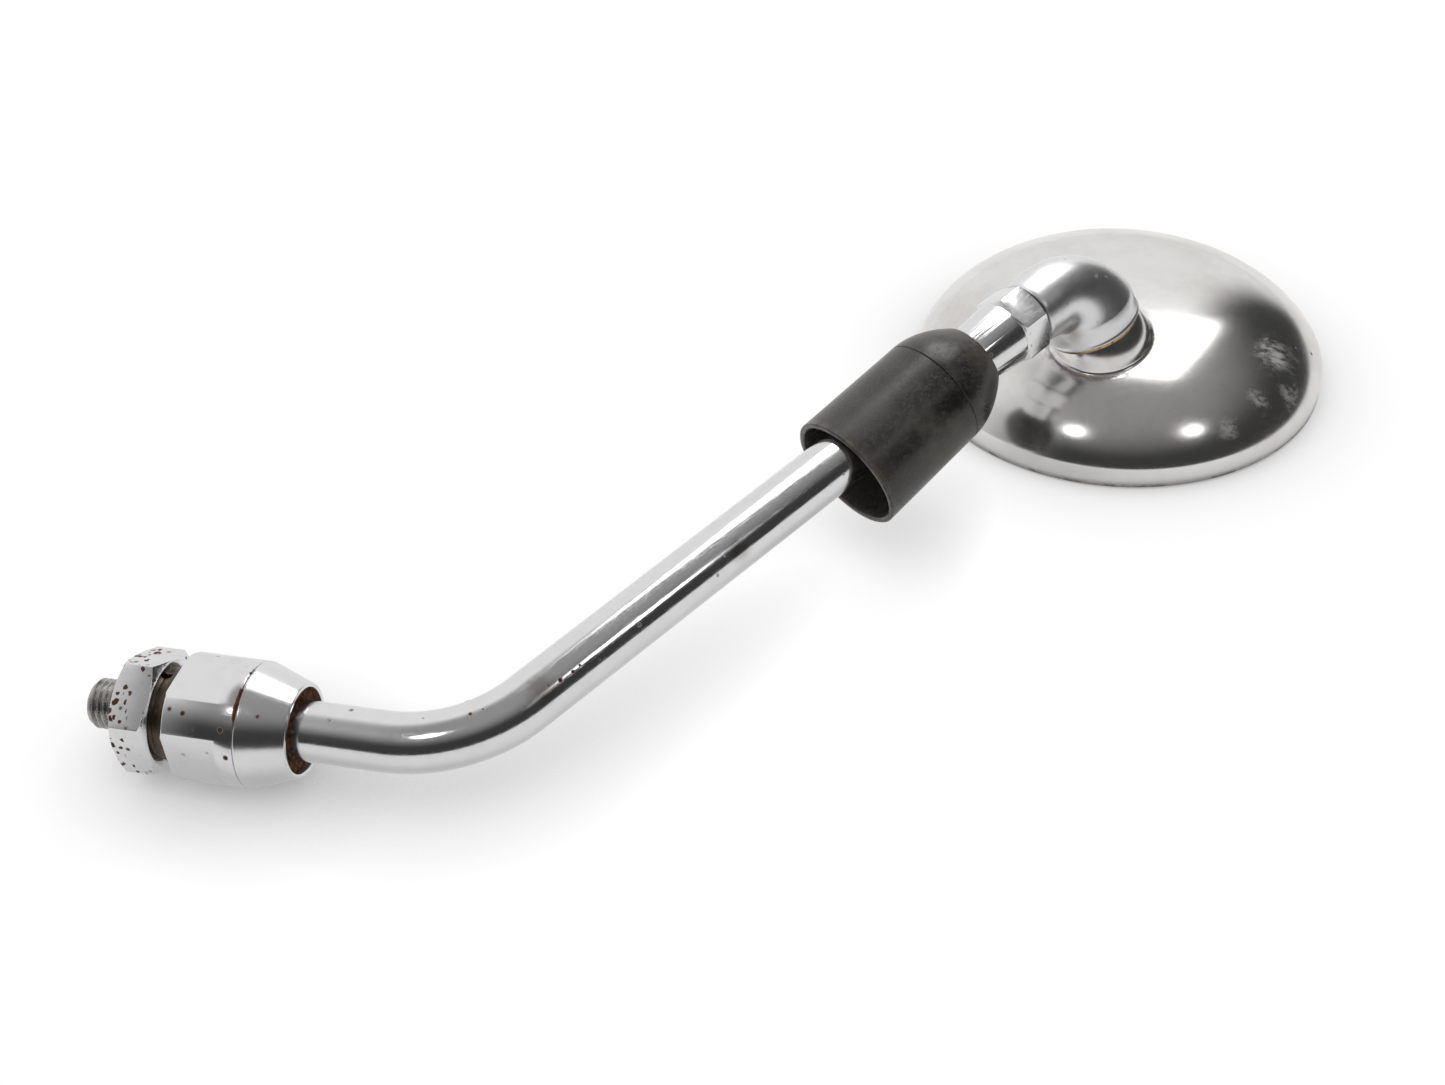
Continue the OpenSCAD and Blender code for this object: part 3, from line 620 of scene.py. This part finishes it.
def worn_rubber(lay):
    """Moulded rubber that has gone brown, with rubbed ends, dust and long scuffs."""
    f = finishes()
    s = Shader("worn rubber")
    height = s.axis(s.laid(lay), 2)
    cloud = s.noise(120.0, 5.0, 0.62)
    broad = s.noise(42.0, 3.0)
    wipe = s.drawn(lay @ about("X", 0.35), (420.0, 420.0, 60.0), 5.0, 0.7)
    dust = (cloud.between(0.44, 0.74) * 0.55).over(wipe.between(0.54, 0.72) * 0.6)
    nose = height.between(-0.0085, -0.0015) * s.noise(260.0, 4.0).between(0.35, 0.62)
    end = -stem_sizes().sleeve_length
    mouth = height.between(end + 0.0022, end + 0.0003) * s.noise(380.0, 4.0).between(0.36, 0.6)
    chalk = s.spot((-89.6, -16.5, 145.9), 5.2, 1.6, 0.9, 260.0) * cloud.between(0.36, 0.60)
    grease = s.spot((-96.5, -22.2, 149.0), 4.2, 1.5, 0.9, 240.0)
    hair = s.hairlines(lay @ about("X", 0.8), (900.0, 900.0, 90.0), 0.010)
    tone = s.mix(broad.between(0.35, 0.65), f.rubber, tuple(0.62 * c for c in f.rubber))
    tone = s.mix(dust * 0.26 + nose * 0.30 + mouth * 0.45, tone, f.dust)
    tone = s.mix(chalk * 0.5, tone, (0.235, 0.22, 0.16))
    tone = s.mix(grease * 0.45, tone, (0.012, 0.010, 0.009))
    tone = s.mix(hair * 0.35, tone, (0.26, 0.235, 0.20))
    grain = s.noise(1600.0, 3.0)
    rough = 0.27 + dust * 0.20 + chalk * 0.2 + nose * 0.14 - grease * 0.08
    height = grain * 0.20 + cloud * 0.3 + hair * -0.3 + wipe * 0.15
    return s.finish(tone, 0.0, rough, height, 0.40, 0.0002)


def silvered_glass():
    """Mirror glass, with water marks and the silver failing a little at the edge."""
    f = finishes()
    s = Shader("silvered glass")
    away = s.vector("MULTIPLY", s.laid(at_mirror()), (1.0, 1.0, 0.0))
    away = s.node("VectorMath", {"operation": "LENGTH"}, {0: away}, "Value")
    ragged = away + (s.noise(190.0, 5.0, 0.7) - 0.5) * 0.0032
    lost = ragged.between(0.0459, 0.0467)
    ring_mark = abs(s.cells(95.0) - 0.30).between(0.035, 0.0)
    water = ring_mark * s.noise(34.0, 3.0).between(0.52, 0.64)
    smear = s.noise(48.0, 5.0, 0.6).between(0.42, 0.74)
    silver = s.mix(smear * 0.35, f.glass, (0.80, 0.81, 0.79))
    rough = 0.012 + water * 0.08 + smear * 0.035 + lost * 0.25
    return s.finish(s.mix(lost, silver, (0.10, 0.085, 0.07)), 1.0 - lost * 0.8, rough,
                    water, 0.05, 0.00005)


def moulded_seal():
    f = finishes()
    s = Shader("moulded seal")
    grain = s.noise(1100.0, 4.0, 0.6)
    dust = s.noise(210.0, 4.0).between(0.48, 0.72)
    return s.finish(s.mix(dust * 0.35, f.seal, f.dust), 0.0, 0.52 + dust * 0.25,
                    grain, 0.3, 0.00012)


def open_foam():
    s = Shader("open foam")
    pores = s.cells(1300.0)
    return s.finish(s.mix(pores, finishes().foam, (0.02, 0.02, 0.02)), 0.0,
                    0.88 + pores * 0.06, pores, 0.7, 0.0003)


def seam_rust(low, high):
    """Rust that bleeds out of a seam between two heights on the stud's axis."""
    middle = (low + high) / 2
    half = (high - low) / 2

    def mask(s):
        height = s.axis(s.place, 2)
        ragged = abs(height - middle) + (s.noise(330.0, 4.0, 0.7) - 0.5) * (1.5 * half)
        return ragged.between(half, half * 0.45) * s.noise(120.0, 3.0).between(0.52, 0.58)
    return mask


def peeled_plating(low, high):
    """Chrome that has flaked off in pits, thickest below the lower of two heights."""
    def mask(s):
        near = s.axis(s.place, 2).between(high, low)
        chosen = s.channel(s.cells(820.0, "Color"), 1) + near * 0.52
        reach = s.cells(820.0) + (s.noise(900.0, 3.0) - 0.5) * 0.8
        return reach.between(0.52, 0.42) * chosen.between(0.95, 0.98)
    return mask


# Stage

def table_material():
    """White table: the camera sees its soft shadow on white, and all else sees a matt board."""
    s = Shader("pale table")
    seen = s.vector("MULTIPLY", s.place, (1.0, 0.0, 1.0))
    near = []
    for start, end, reach in SHADOW_LINES:
        a = Vector(start) * MM
        span = Vector(end) * MM - a
        from_a = s.vector("SUBTRACT", seen, a)
        share = s.vector("DOT_PRODUCT", from_a, span / span.length_squared, "Value")
        foot = s.vector("MULTIPLY", span, share.math("MAXIMUM", 0.0).math("MINIMUM", 1.0))
        near.append(s.apart(from_a, foot).between(reach * MM, 0.45 * reach * MM))
    back = s.node("NewGeometry", output="Backfacing")
    middle = at_mirror().to_translation()
    hole = head_sizes().diameter / 2 - 0.0023
    under = s.apart(seen, (middle.x, 0.0, middle.z)).math("LESS_THAN", hole)
    matte = s.node("BsdfDiffuse", {}, {"Color": (0.70, 0.70, 0.70, 1.0)})
    glossy = s.node("LightPath", output="Is Glossy Ray")
    glow = s.node("Emission", {}, {"Color": WHITE, "Strength": glossy * 0.34})
    lit = s.node("AddShader", {}, {0: matte, 1: glow})
    clear = s.node("BsdfTransparent")
    board = s.node("MixShader", {}, {0: (1.0 - back) * (1.0 - under), 1: clear, 2: lit})
    open_sky = s.node("AmbientOcclusion", {"samples": 12}, {"Distance": 0.021}, "AO")
    shade = 1.0 - (1.0 - open_sky) * union(near) * (1.0 - back) * 0.72
    veil = s.node("BsdfTransparent", {}, {"Color": shade})
    camera = s.node("LightPath", output="Is Camera Ray")
    s.wire(s.node("MixShader", {}, {0: camera, 1: board, 2: veil}))
    return s.material


def table_under_mirror():
    bm = bmesh.new()
    bmesh.ops.create_grid(bm, x_segments=1, y_segments=1, size=TABLE_HALF)
    upright = Matrix.Rotation(math.pi / 2, 3, "X")
    tilt = Matrix.Rotation(TABLE_TILT, 3, Vector((-0.72, 0.0, 0.69)).cross((0.0, 1.0, 0.0)))
    bmesh.ops.rotate(bm, verts=bm.verts, cent=(0, 0, 0), matrix=tilt @ upright)
    bmesh.ops.translate(bm, verts=bm.verts, vec=TABLE_PLACE)
    added_mesh("table", bm, table_material())


def studio_room():
    """What the chrome sees: a pale backdrop on the far side and the dim room on the near one."""
    world = bpy.context.scene.world or bpy.data.worlds.new("studio")
    bpy.context.scene.world = world
    s = Shader("studio", world)
    up = s.axis(s.place, 1) * -1.0
    around = s.axis(s.place, 2).math("ARCTAN2", s.axis(s.place, 0))
    backdrop = (around - up * 0.35).between(2.60, 2.80).over(around.between(-0.35, -1.70))
    backdrop = backdrop * up.between(0.97, 0.80)
    dim = 0.045 + up.between(0.45, 0.98) * 0.27
    above = dim + backdrop * (0.86 - dim)
    below = 0.80 - around.between(-1.2, 1.6) * 0.25
    level = s.node("Mix", {"data_type": "FLOAT"},
                   {0: up.between(-0.04, 0.0), 2: below, 3: above})
    shown = s.node("LightPath", output="Is Camera Ray").over(
        s.node("LightPath", output="Is Transmission Ray"))
    strength = level + shown * (1.0 - level)
    s.wire(s.node("Background", {}, {"Color": WHITE, "Strength": strength}), "World")


def studio_lamps():
    for name, kind, place, power, size in LAMPS:
        lamp = bpy.data.lights.new(name, kind)
        lamp.energy = power
        if kind == "AREA":
            lamp.shape = "SQUARE"
            lamp.size = size
        else:
            lamp.shadow_soft_size = size
        aim = (LAMP_TARGET - Vector(place)).to_track_quat("-Z", "Y")
        added(name, lamp).matrix_world = Matrix.Translation(place) @ aim.to_matrix().to_4x4()


def photograph_camera():
    data = bpy.data.cameras.new("photograph")
    data.sensor_width = SENSOR_WIDTH
    data.lens = SENSOR_WIDTH * FOCAL_LENGTH / PHOTO_WIDTH
    data.clip_start = 0.01
    data.clip_end = 20.0
    camera = added("photograph", data)
    up = CAMERA_BACK.cross(CAMERA_RIGHT)
    turn = Matrix((CAMERA_RIGHT, up, CAMERA_BACK)).transposed().to_4x4()
    camera.matrix_world = Matrix.Translation(CAMERA_PLACE) @ turn
    bpy.context.scene.camera = camera


# Operators

class BuildPiece(bpy.types.Operator):
    """Shared base of the operators that build a piece"""
    bl_options = {"REGISTER"}


class MIRROR_OT_stage(BuildPiece):
    """Set up the pale table, the soft light and the camera"""
    bl_idname = "mirror.stage"
    bl_label = "Table, light and camera"

    def execute(self, context):
        table_under_mirror()
        studio_room()
        studio_lamps()
        photograph_camera()
        return {"FINISHED"}


class MIRROR_OT_stud(BuildPiece):
    """Cut the stud's thread and chamfer its end"""
    bl_idname = "mirror.stud"
    bl_label = "Threaded stud"

    def execute(self, context):
        a = adapter_sizes()
        crest = a.stud_diameter / 2
        root = crest - a.thread_depth
        pitch = a.thread_pitch
        low = -a.stud_free - 1.5 * pitch
        turns = int((a.stud_free + a.stud_top) / pitch) + 3
        steps = 48
        outline = [(root + rise * a.thread_depth, low + (turn + part) * pitch)
                   for turn in range(turns) for part, rise in THREAD_FORM]
        outline.append((root, low + turns * pitch))
        bm = bmesh.new()
        points = [bm.verts.new((r, 0, z)) for r, z in outline]
        edges = [bm.edges.new(pair) for pair in zip(points, points[1:])]
        bmesh.ops.spin(bm, geom=points + edges, cent=(0, 0, 0), axis=(0, 0, 1),
                       dvec=(0, 0, pitch / steps), angle=2 * math.pi, steps=steps)
        bmesh.ops.remove_doubles(bm, verts=bm.verts, dist=WELD)
        for z, out in ((-a.stud_free, -1), (a.stud_top, 1)):
            bmesh.ops.bisect_plane(bm, geom=bm.verts[:] + bm.edges[:] + bm.faces[:],
                                   plane_co=(0, 0, z), plane_no=(0, 0, out), clear_outer=True)
        for v in bm.verts:
            chamfered = crest - a.stud_chamfer + v.co.z + a.stud_free
            reach = a.thread_hidden if v.co.z > -TINY else chamfered
            here = v.co.xy.length
            if here > reach:
                v.co.xy *= reach / here
        bmesh.ops.holes_fill(bm, edges=[e for e in bm.edges if e.is_boundary], sides=0)
        bmesh.ops.recalc_face_normals(bm, faces=bm.faces)
        steel = worn_steel("stud steel", finishes().steel, 0.15, 0.24)
        finished("threaded_stud", bm, steel, "adapter", "stud", 50.0)
        return {"FINISHED"}


class MIRROR_OT_nut_and_washers(BuildPiece):
    """Round the edges of the lock nut and of the washers behind it"""
    bl_idname = "mirror.nut_and_washers"
    bl_label = "Lock nut and washers"

    def execute(self, context):
        plate = polished_chrome("nut chrome", Matrix.Identity(4), 1.1, 0.13, 0.8, grime=0.25,
                                seams=(peeled_plating(0.0012, 0.0050),))
        softened("lock_nut", "hex_lock_nut", plate, "adapter", 0.00022, 3)
        steel = worn_steel("washer steel", finishes().washer, 0.5, 0.34)
        softened("plain_washer", "flat_washer", steel, "adapter", 0.00012)
        softened("spring_washer", "split_washer", steel, "adapter", 0.00012)
        return {"FINISHED"}


class MIRROR_OT_adapter(BuildPiece):
    """Finish the adapter's body and its conical collar"""
    bl_idname = "mirror.adapter"
    bl_label = "Adapter and collar"

    def execute(self, context):
        a = adapter_sizes()
        seam = a.shoulder + a.seam
        plate = polished_chrome(
            "adapter chrome", Matrix.Identity(4), 0.45, 0.11, 0.8, grime=0.12,
            seams=(seam_rust(seam - 0.0006, seam + 0.0005),),
            pits=(((9.7, -7.9, 24.0), 0.6), ((12.0, -3.0, 25.0), 0.5), ((8.2, -9.4, 16.0), 0.5)))
        softened("adapter_body", "flatted_adapter", plate, "adapter", 0.00018)
        lip = a.lip_diameter / 2
        recess = a.recess_diameter / 2
        bore = stem_sizes().diameter / 2 + SLIDING
        inner = a.spigot_diameter / 2 + SNUG
        outer = a.body_diameter / 2
        foot = a.seam + 0.00002
        floor = a.collar_top - a.recess_depth
        bm = turned([(inner, foot), (outer - 0.00025, foot), (outer, foot + 0.00026),
                     (outer, a.seam + 2 * BREAK), (lip, a.collar_top), (recess, a.collar_top),
                     (recess, floor), (bore, floor), (bore, a.washer_top),
                     (inner, a.washer_top)], 160, 0.00016)
        cone = polished_chrome("collar chrome", Matrix.Identity(4), 0.3, 0.10, 0.6, turning=1.0,
                               seams=(seam_rust(seam - 0.0007, seam + 0.0007),))
        finished("turned_collar", bm, cone, "adapter", "cone_collar",
                 place=shift(0, 0, a.shoulder))
        return {"FINISHED"}


class MIRROR_OT_packing(BuildPiece):
    """Crumble the rusted packing in the collar's mouth"""
    bl_idname = "mirror.packing"
    bl_label = "Packing and hidden washer"

    def execute(self, context):
        a = adapter_sizes()
        outer = a.recess_diameter / 2 - SLIDING
        inner = stem_sizes().diameter / 2 + SLIDING
        low = a.shoulder + a.collar_top - a.recess_depth
        high = low + a.packing_height
        bm = turned([(inner, low), (outer, low), (outer, high),
                     ((inner + outer) / 2, high), (inner, high)], 120, 0.0002)
        top = [e for e in bm.edges if all(abs(v.co.z - high) < TINY for v in e.verts)]
        bmesh.ops.subdivide_edges(bm, edges=top, cuts=1)
        lump, crumb = 0.00011, 0.00012
        for v in bm.verts:
            if v.co.z > high - 10 * TINY:
                around = math.atan2(v.co.y, v.co.x)
                v.co.z -= lump * (1.0 + math.sin(7 * around + 900 * v.co.x))
                v.co.z -= crumb * (1.0 + math.sin(19 * around))
        finished("packed_ring", bm, packed_rust(), "adapter", "packing_ring",
                 60.0)
        dressed("stem_washer", spring_steel())
        return {"FINISHED"}


def rod_marks():
    """Pits and stains of the stem, where the photograph shows them; the last stain is painted
    shade at the collar's mouth.
    """
    pits = (((-15.0, -7.3, 83.4), 0.45), ((-17.4, -7.5, 85.3), 0.38), ((-3.8, -6.7, 68.9), 0.42),
            ((-13.2, -7.2, 81.5), 0.25), ((-19.0, -7.9, 86.2), 0.28), ((-5.2, -6.9, 71.0), 0.24),
            ((-21.8, -7.2, 89.4), 0.22), ((-10.4, -7.0, 78.8), 0.2), ((-1.6, -6.4, 60.2), 0.3))
    # The last stain is painted shade on the stem's top, where it enters the collar.
    stains_and_shade = (((-12.0, -7.2, 80.5), 2.4), ((-52.4, -12.4, 110.7), 2.0), ((-3.0, -5.2, 36.0), 2.2))
    return pits, stains_and_shade


class MIRROR_OT_stem(BuildPiece):
    """Sweep the headed and bent stem"""
    bl_idname = "mirror.stem"
    bl_label = "Bent stem"

    def execute(self, context):
        s = stem_sizes()
        up = shift(0, 0, adapter_sizes().shoulder)
        tangent = s.bend_radius * math.tan(s.bend / 2)
        rod = s.diameter / 2
        head = s.head_diameter / 2
        thread = s.thread_diameter / 2
        shoulder_break, end_break, row = 0.0004, 0.0006, 0.004
        rings = rings_on(up, [
            (s.head_bottom, head - BREAK), (s.head_bottom + BREAK, head),
            (s.head_top - BREAK, head), (s.head_top, head - BREAK), (s.head_top, rod),
            *((s.head_top + row * i, rod) for i in (1, 2, 3))])
        start = up @ shift(0, 0, s.corner - tangent) @ about("Z", s.lean)
        steps = 40
        for i in range(steps + 1):
            bent = shift(s.bend_radius, 0, 0) @ about("Y", s.bend * i / steps)
            rings.append(ring(start @ bent @ shift(-s.bend_radius, 0, 0)
                              @ about("Z", -s.lean), rod))
        rows = 29
        reach = s.shoulder_along - shoulder_break - tangent
        rings += rings_on(on_stem() @ about("Z", -s.lean), [
            *((tangent + reach * i / rows, rod) for i in range(1, rows + 1)),
            (s.shoulder_along, rod - shoulder_break), (s.shoulder_along, thread),
            (s.end_along - end_break, thread), (s.end_along, thread - end_break)])
        pits, stains_and_shade = rod_marks()
        plate = polished_chrome("stem chrome", on_stem(), 0.13, 0.09, 0.9, stains_and_shade, pits)
        finished("chromed_stem", swept(rings, 96), plate, "stem", "stem_rod")
        return {"FINISHED"}


class MIRROR_OT_sleeve(BuildPiece):
    """Mould the rubber sleeve"""
    bl_idname = "mirror.sleeve"
    bl_label = "Rubber sleeve"

    def execute(self, context):
        s = stem_sizes()
        mouth = s.sleeve_mouth / 2
        outer = s.sleeve_diameter / 2
        bore = s.sleeve_bore / 2
        end = -s.sleeve_length
        line = -s.sleeve_nose
        groove, skirt_rows, nose_rows = 0.0002, 10, 24

        def nose(tip, wide, high):
            """The rounded nose, from the moulding line to the tip."""
            return [(tip + (wide - tip) * (1 - t ** s.nose_power), line * (1 - t) + high * t)
                    for t in (i / nose_rows for i in range(nose_rows + 1))]

        shape = [(mouth - s.sleeve_wall, end + BREAK), (mouth - s.sleeve_wall + BREAK, end),
                 (mouth - BREAK, end), (mouth, end + BREAK)]
        skirt = line - 2 * groove - BREAK - end
        for i in range(1, skirt_rows):
            t = i / skirt_rows
            shape.append((mouth + (outer - mouth) * t, end + BREAK + skirt * t))
        shape += [(outer, line - 2 * groove), (outer - groove, line - groove)]
        shape += nose(s.sleeve_tip / 2, outer, 0.0)
        shape += [(bore + BREAK, 0.0), (bore, -BREAK)]
        shape += reversed(nose(bore, outer - s.sleeve_wall, -s.nose_wall))
        place = on_stem(s.sleeve_along) @ about("X", -s.sleeve_droop)
        finished("moulded_sleeve", turned(shape, 144), worn_rubber(place), "sleeve",
                 "rubber_sleeve", 24.0, place)
        return {"FINISHED"}


class MIRROR_OT_ferrule(BuildPiece):
    """Round the edges of the ferrule nut"""
    bl_idname = "mirror.ferrule"
    bl_label = "Ferrule nut"

    def execute(self, context):
        plate = polished_chrome(
            "ferrule chrome", on_stem(), 0.35, 0.13, 1.2, (((-126.5, -20.0, 160.0), 2.2),),
            (((-128.3, -14.6, 163.9), 0.5), ((-127.0, -23.6, 163.0), 0.4)))
        softened("ferrule_nut", "tapered_ferrule_nut", plate, "stem", 0.00025, 3, 12.0)
        return {"FINISHED"}


class MIRROR_OT_elbow(BuildPiece):
    """Cast the elbow: neck, swelling turn, beaded bell and its hollow"""
    bl_idname = "mirror.elbow"
    bl_label = "Elbow"

    def execute(self, context):
        e = elbow_sizes()
        face = e.neck_diameter / 2
        neck = face + e.neck_swell
        bell = e.bell_diameter / 2
        pin = e.pivot_diameter / 2
        fan_x = neck + e.fillet
        fan_z = (fan_x * math.cos(e.turn) - bell - e.fillet) / math.sin(e.turn)
        base = on_stem(stem_sizes().length) @ about("Z", e.roll) @ shift(0, 0, fan_z)
        neck_edge = 0.0004
        hole = stem_sizes().thread_diameter / 2 + SNUG
        rings = rings_on(base @ shift(0, 0, -e.neck_length), [
            (0.003, hole), (0.0, hole), (0.0, face - neck_edge), (0.0001, face - 0.0001),
            (neck_edge, face + 0.00004),
            *((share * e.neck_length + neck_edge * (1 - share), face + e.neck_swell * share)
              for share in (i / 6 for i in range(1, 6)))])
        steps = 36
        for i in range(steps + 1):
            share = i / steps
            r = neck + (bell - neck) * share ** 2
            rings.append(ring(base @ shift(fan_x, 0, 0) @ about("Y", e.turn * share)
                              @ shift(-e.fillet - r, 0, 0), r))
        start = fan_x * math.sin(e.turn) + fan_z * math.cos(e.turn)
        lip = e.bell_length - e.lip
        bead = ((-0.0002, 0.0), (0.0001, 0.00006), (0.0003, 0.00018), (0.0005, 0.00024),
                (0.0007, 0.00018), (0.0009, 0.00005), (0.001, -0.00015))
        hollow = e.ball_radius + BREAK
        widest = math.acos((e.ball_drop - e.bell_length) / hollow)
        narrow = math.asin(pin / hollow)
        rows = 12
        polars = [widest + (narrow - widest) * i / rows for i in range(rows + 1)]
        rings += rings_on(at_elbow(), [
            (start + 0.6 * (lip - start), bell), *((lip + z, bell + out) for z, out in bead),
            *((e.ball_drop - hollow * math.cos(a), hollow * math.sin(a)) for a in polars),
            (e.ball_drop - hollow - 0.002, pin)])
        plate = polished_chrome(
            "elbow chrome", on_stem(), 0.2, 0.29, 1.7,
            (((-136.8, -31.9, 166.1), 1.1), ((-134.3, -15.6, 170.3), 1.6)),
            (((-136.9, -31.8, 166.6), 0.3),))
        finished("cast_elbow", swept(rings, 128), plate, "stem", "elbow", 40.0)
        return {"FINISHED"}


class MIRROR_OT_joint(BuildPiece):
    """Turn the seat ring and finish the hidden hardware of the ball joint"""
    bl_idname = "mirror.joint"
    bl_label = "Ball joint"

    def execute(self, context):
        e = elbow_sizes()
        r = e.ball_radius + SLIDING
        high = e.ball_drop - e.bell_length
        low = high - e.seat_height
        outer = e.bell_diameter / 2 - e.seat_inset
        seat = [low + e.seat_height * i / 4 for i in range(4)]
        outline = [(math.sqrt(r * r - high * high), high), (outer, high), (outer, low),
                   *((math.sqrt(r * r - z * z), z) for z in seat)]
        finished("brass_seat", turned(outline, 128, 0.00012), tarnished_brass(), "seat",
                 "seat_ring", place=at_pivot() @ about("X", math.pi))
        for node in ("friction_washer", "pivot_spring"):
            dressed(node, spring_steel())
        for node in ("pivot_stud", "spring_cup", "pivot_nut"):
            dressed(node, zinc_plate())
        return {"FINISHED"}


def mirror_middle():
    """The middle of the mirror, seen from the hump."""
    h = head_sizes()
    return Vector((math.cos(h.turn), math.sin(h.turn))) * h.boss_offset


def dome(x, y):
    """Height of the dome at a place seen from the hump."""
    h = head_sizes()
    share = min((Vector((x, y)) - mirror_middle()).length / (h.diameter / 2), 1.0)
    return h.band + h.dome * (1 - share ** h.dome_power) ** h.dome_root - h.ball_height


def shell_point(row, turn):
    """Where a corner of the shell lies, from the hump's hole outwards."""
    e = elbow_sizes()
    ball = e.ball_radius
    flank = head_sizes().flank
    way = Vector((math.cos(turn), math.sin(turn)))
    foot = way * (ball + flank)
    ground = dome(foot.x, foot.y)
    hole = math.asin(e.ball_hole / ball)
    polar = math.acos(min(1.0, (ground + flank) / ball))
    if row <= HUMP_ROWS:
        here = hole + (polar - hole) * row / HUMP_ROWS
        return (*(way * ball * math.sin(here)), ball * math.cos(here))
    if row <= HUMP_ROWS + FLANK_ROWS:
        t = (row - HUMP_ROWS) / FLANK_ROWS
        first = Vector((ball * math.sin(polar), ball * math.cos(polar)))
        corner = Vector((first.x + 0.0001, ground + 0.0001))
        last = Vector((foot.length, ground))
        bent = first * (1 - t) ** 2 + corner * 2 * t * (1 - t) + last * t * t
        return (*(way * bent.x), bent.y)
    t = 1 - (1 - (row - HUMP_ROWS - FLANK_ROWS) / DOME_ROWS) ** RIM_CROWDING
    radius = (ball + flank) * (1 - t) + head_sizes().diameter / 2 * t
    x, y = mirror_middle() * t + way * radius
    return (x, y, dome(x, y))


class MIRROR_OT_shell(BuildPiece):
    """Press the shell: dome, upright rim band and round hump"""
    bl_idname = "mirror.shell"
    bl_label = "Mirror shell"

    def execute(self, context):
        h = head_sizes()
        bm = bmesh.new()
        bmesh.ops.create_circle(bm, segments=SHELL_SEGMENTS, radius=1.0)
        turns = {v: math.atan2(v.co.y, v.co.x) for v in bm.verts}
        edges = bm.edges[:]
        for v, turn in turns.items():
            v.co = shell_point(0, turn)
        for row in range(1, HUMP_ROWS + FLANK_ROWS + DOME_ROWS + 1):
            fresh, edges = extruded(bm, edges)
            below = {v: next(w for w in (e.other_vert(v) for e in v.link_edges) if w in turns)
                     for v in fresh}
            turns = {v: turns[below[v]] for v in fresh}
            for v, turn in turns.items():
                v.co = shell_point(row, turn)
        middle = mirror_middle()
        for z, inwards in ((h.band * 0.5, 0.0), (h.rim_step + BREAK, 0.0), (h.rim_step, 0.0002)):
            fresh, edges = extruded(bm, edges)
            for v in fresh:
                out = v.co.xy - middle
                v.co = (*(middle + out * (1 - inwards / out.length)), z - h.ball_height)
        bmesh.ops.recalc_face_normals(bm, faces=bm.faces)
        crown = max(bm.faces, key=lambda face: face.calc_center_median().z)
        if crown.normal.z < 0:
            bmesh.ops.reverse_faces(bm, faces=bm.faces)
        shell = finished("pressed_shell", bm, shell_chrome(), "head",
                         "mirror_shell", 50.0, at_hump())
        wall = shell.modifiers.new("wall", "SOLIDIFY")
        wall.thickness = h.wall
        wall.offset = -1.0
        return {"FINISHED"}


class MIRROR_OT_glass(BuildPiece):
    """Grind the glass, mould its seal and finish what lies behind it"""
    bl_idname = "mirror.glass"
    bl_label = "Glass and seal"

    def execute(self, context):
        h = head_sizes()
        place = at_mirror()
        inside = h.diameter / 2 - h.wall
        glass = inside - h.seal
        low = h.glass_step
        high = h.glass_step + h.glass
        ground, corner = 0.0005, 0.0002
        bm = turned([(0, low), (glass * 0.5, low), (glass - ground, low), (glass, low + ground),
                     (glass, high), (0, high)], 192, 0.0001, closed=False)
        finished("silvered_disc", bm, silvered_glass(), "head", "mirror_glass",
                 20.0, place)
        bm = turned([(glass - h.seal_lip, 0.0), (inside - corner, 0.0), (inside, corner),
                     (inside, high - corner), (glass, high - corner), (glass, low),
                     (glass - h.seal_lip, low)], 192, 0.00012)
        finished("moulded_seal", bm, moulded_seal(), "head", "edge_seal", place=place)
        dressed("cushion_ring", open_foam())
        dressed("backing_plate", zinc_plate())
        return {"FINISHED"}


class MIRROR_PT_panel(bpy.types.Panel):
    """Lists the sizes, the finishes and the steps of the mirror"""
    bl_idname = "MIRROR_PT_panel"
    bl_label = "Motorcycle mirror"
    bl_space_type = "VIEW_3D"
    bl_region_type = "UI"
    bl_category = "Mirror"

    def draw(self, context):
        layout = self.layout
        for step in STEPS:
            layout.operator(step.bl_idname)
        for group in (adapter_sizes(), stem_sizes(), elbow_sizes(), head_sizes(), finishes()):
            box = layout.box()
            for name in group.__annotations__:
                box.prop(group, name)


GROUPS = {
    "mirror_adapter": AdapterSizes,
    "mirror_stem": StemSizes,
    "mirror_elbow": ElbowSizes,
    "mirror_head": HeadSizes,
    "mirror_finishes": Finishes,
}
STEPS = (MIRROR_OT_stage, MIRROR_OT_stud, MIRROR_OT_nut_and_washers, MIRROR_OT_adapter,
         MIRROR_OT_packing, MIRROR_OT_stem, MIRROR_OT_sleeve, MIRROR_OT_ferrule,
         MIRROR_OT_elbow, MIRROR_OT_joint, MIRROR_OT_shell, MIRROR_OT_glass)
CLASSES = (*GROUPS.values(), *STEPS, MIRROR_PT_panel)


def register():
    for cls in CLASSES:
        bpy.utils.register_class(cls)
    for name, group in GROUPS.items():
        setattr(bpy.types.Scene, name, PointerProperty(type=group))


def unregister():
    for name in GROUPS:
        delattr(bpy.types.Scene, name)
    for cls in reversed(CLASSES):
        bpy.utils.unregister_class(cls)


def main():
    register()
    bpy.context.scene.view_settings.view_transform = "Standard"
    for step in STEPS:
        area, name = step.bl_idname.split(".")
        getattr(getattr(bpy.ops, area), name)()


if __name__ == "__main__":
    main()
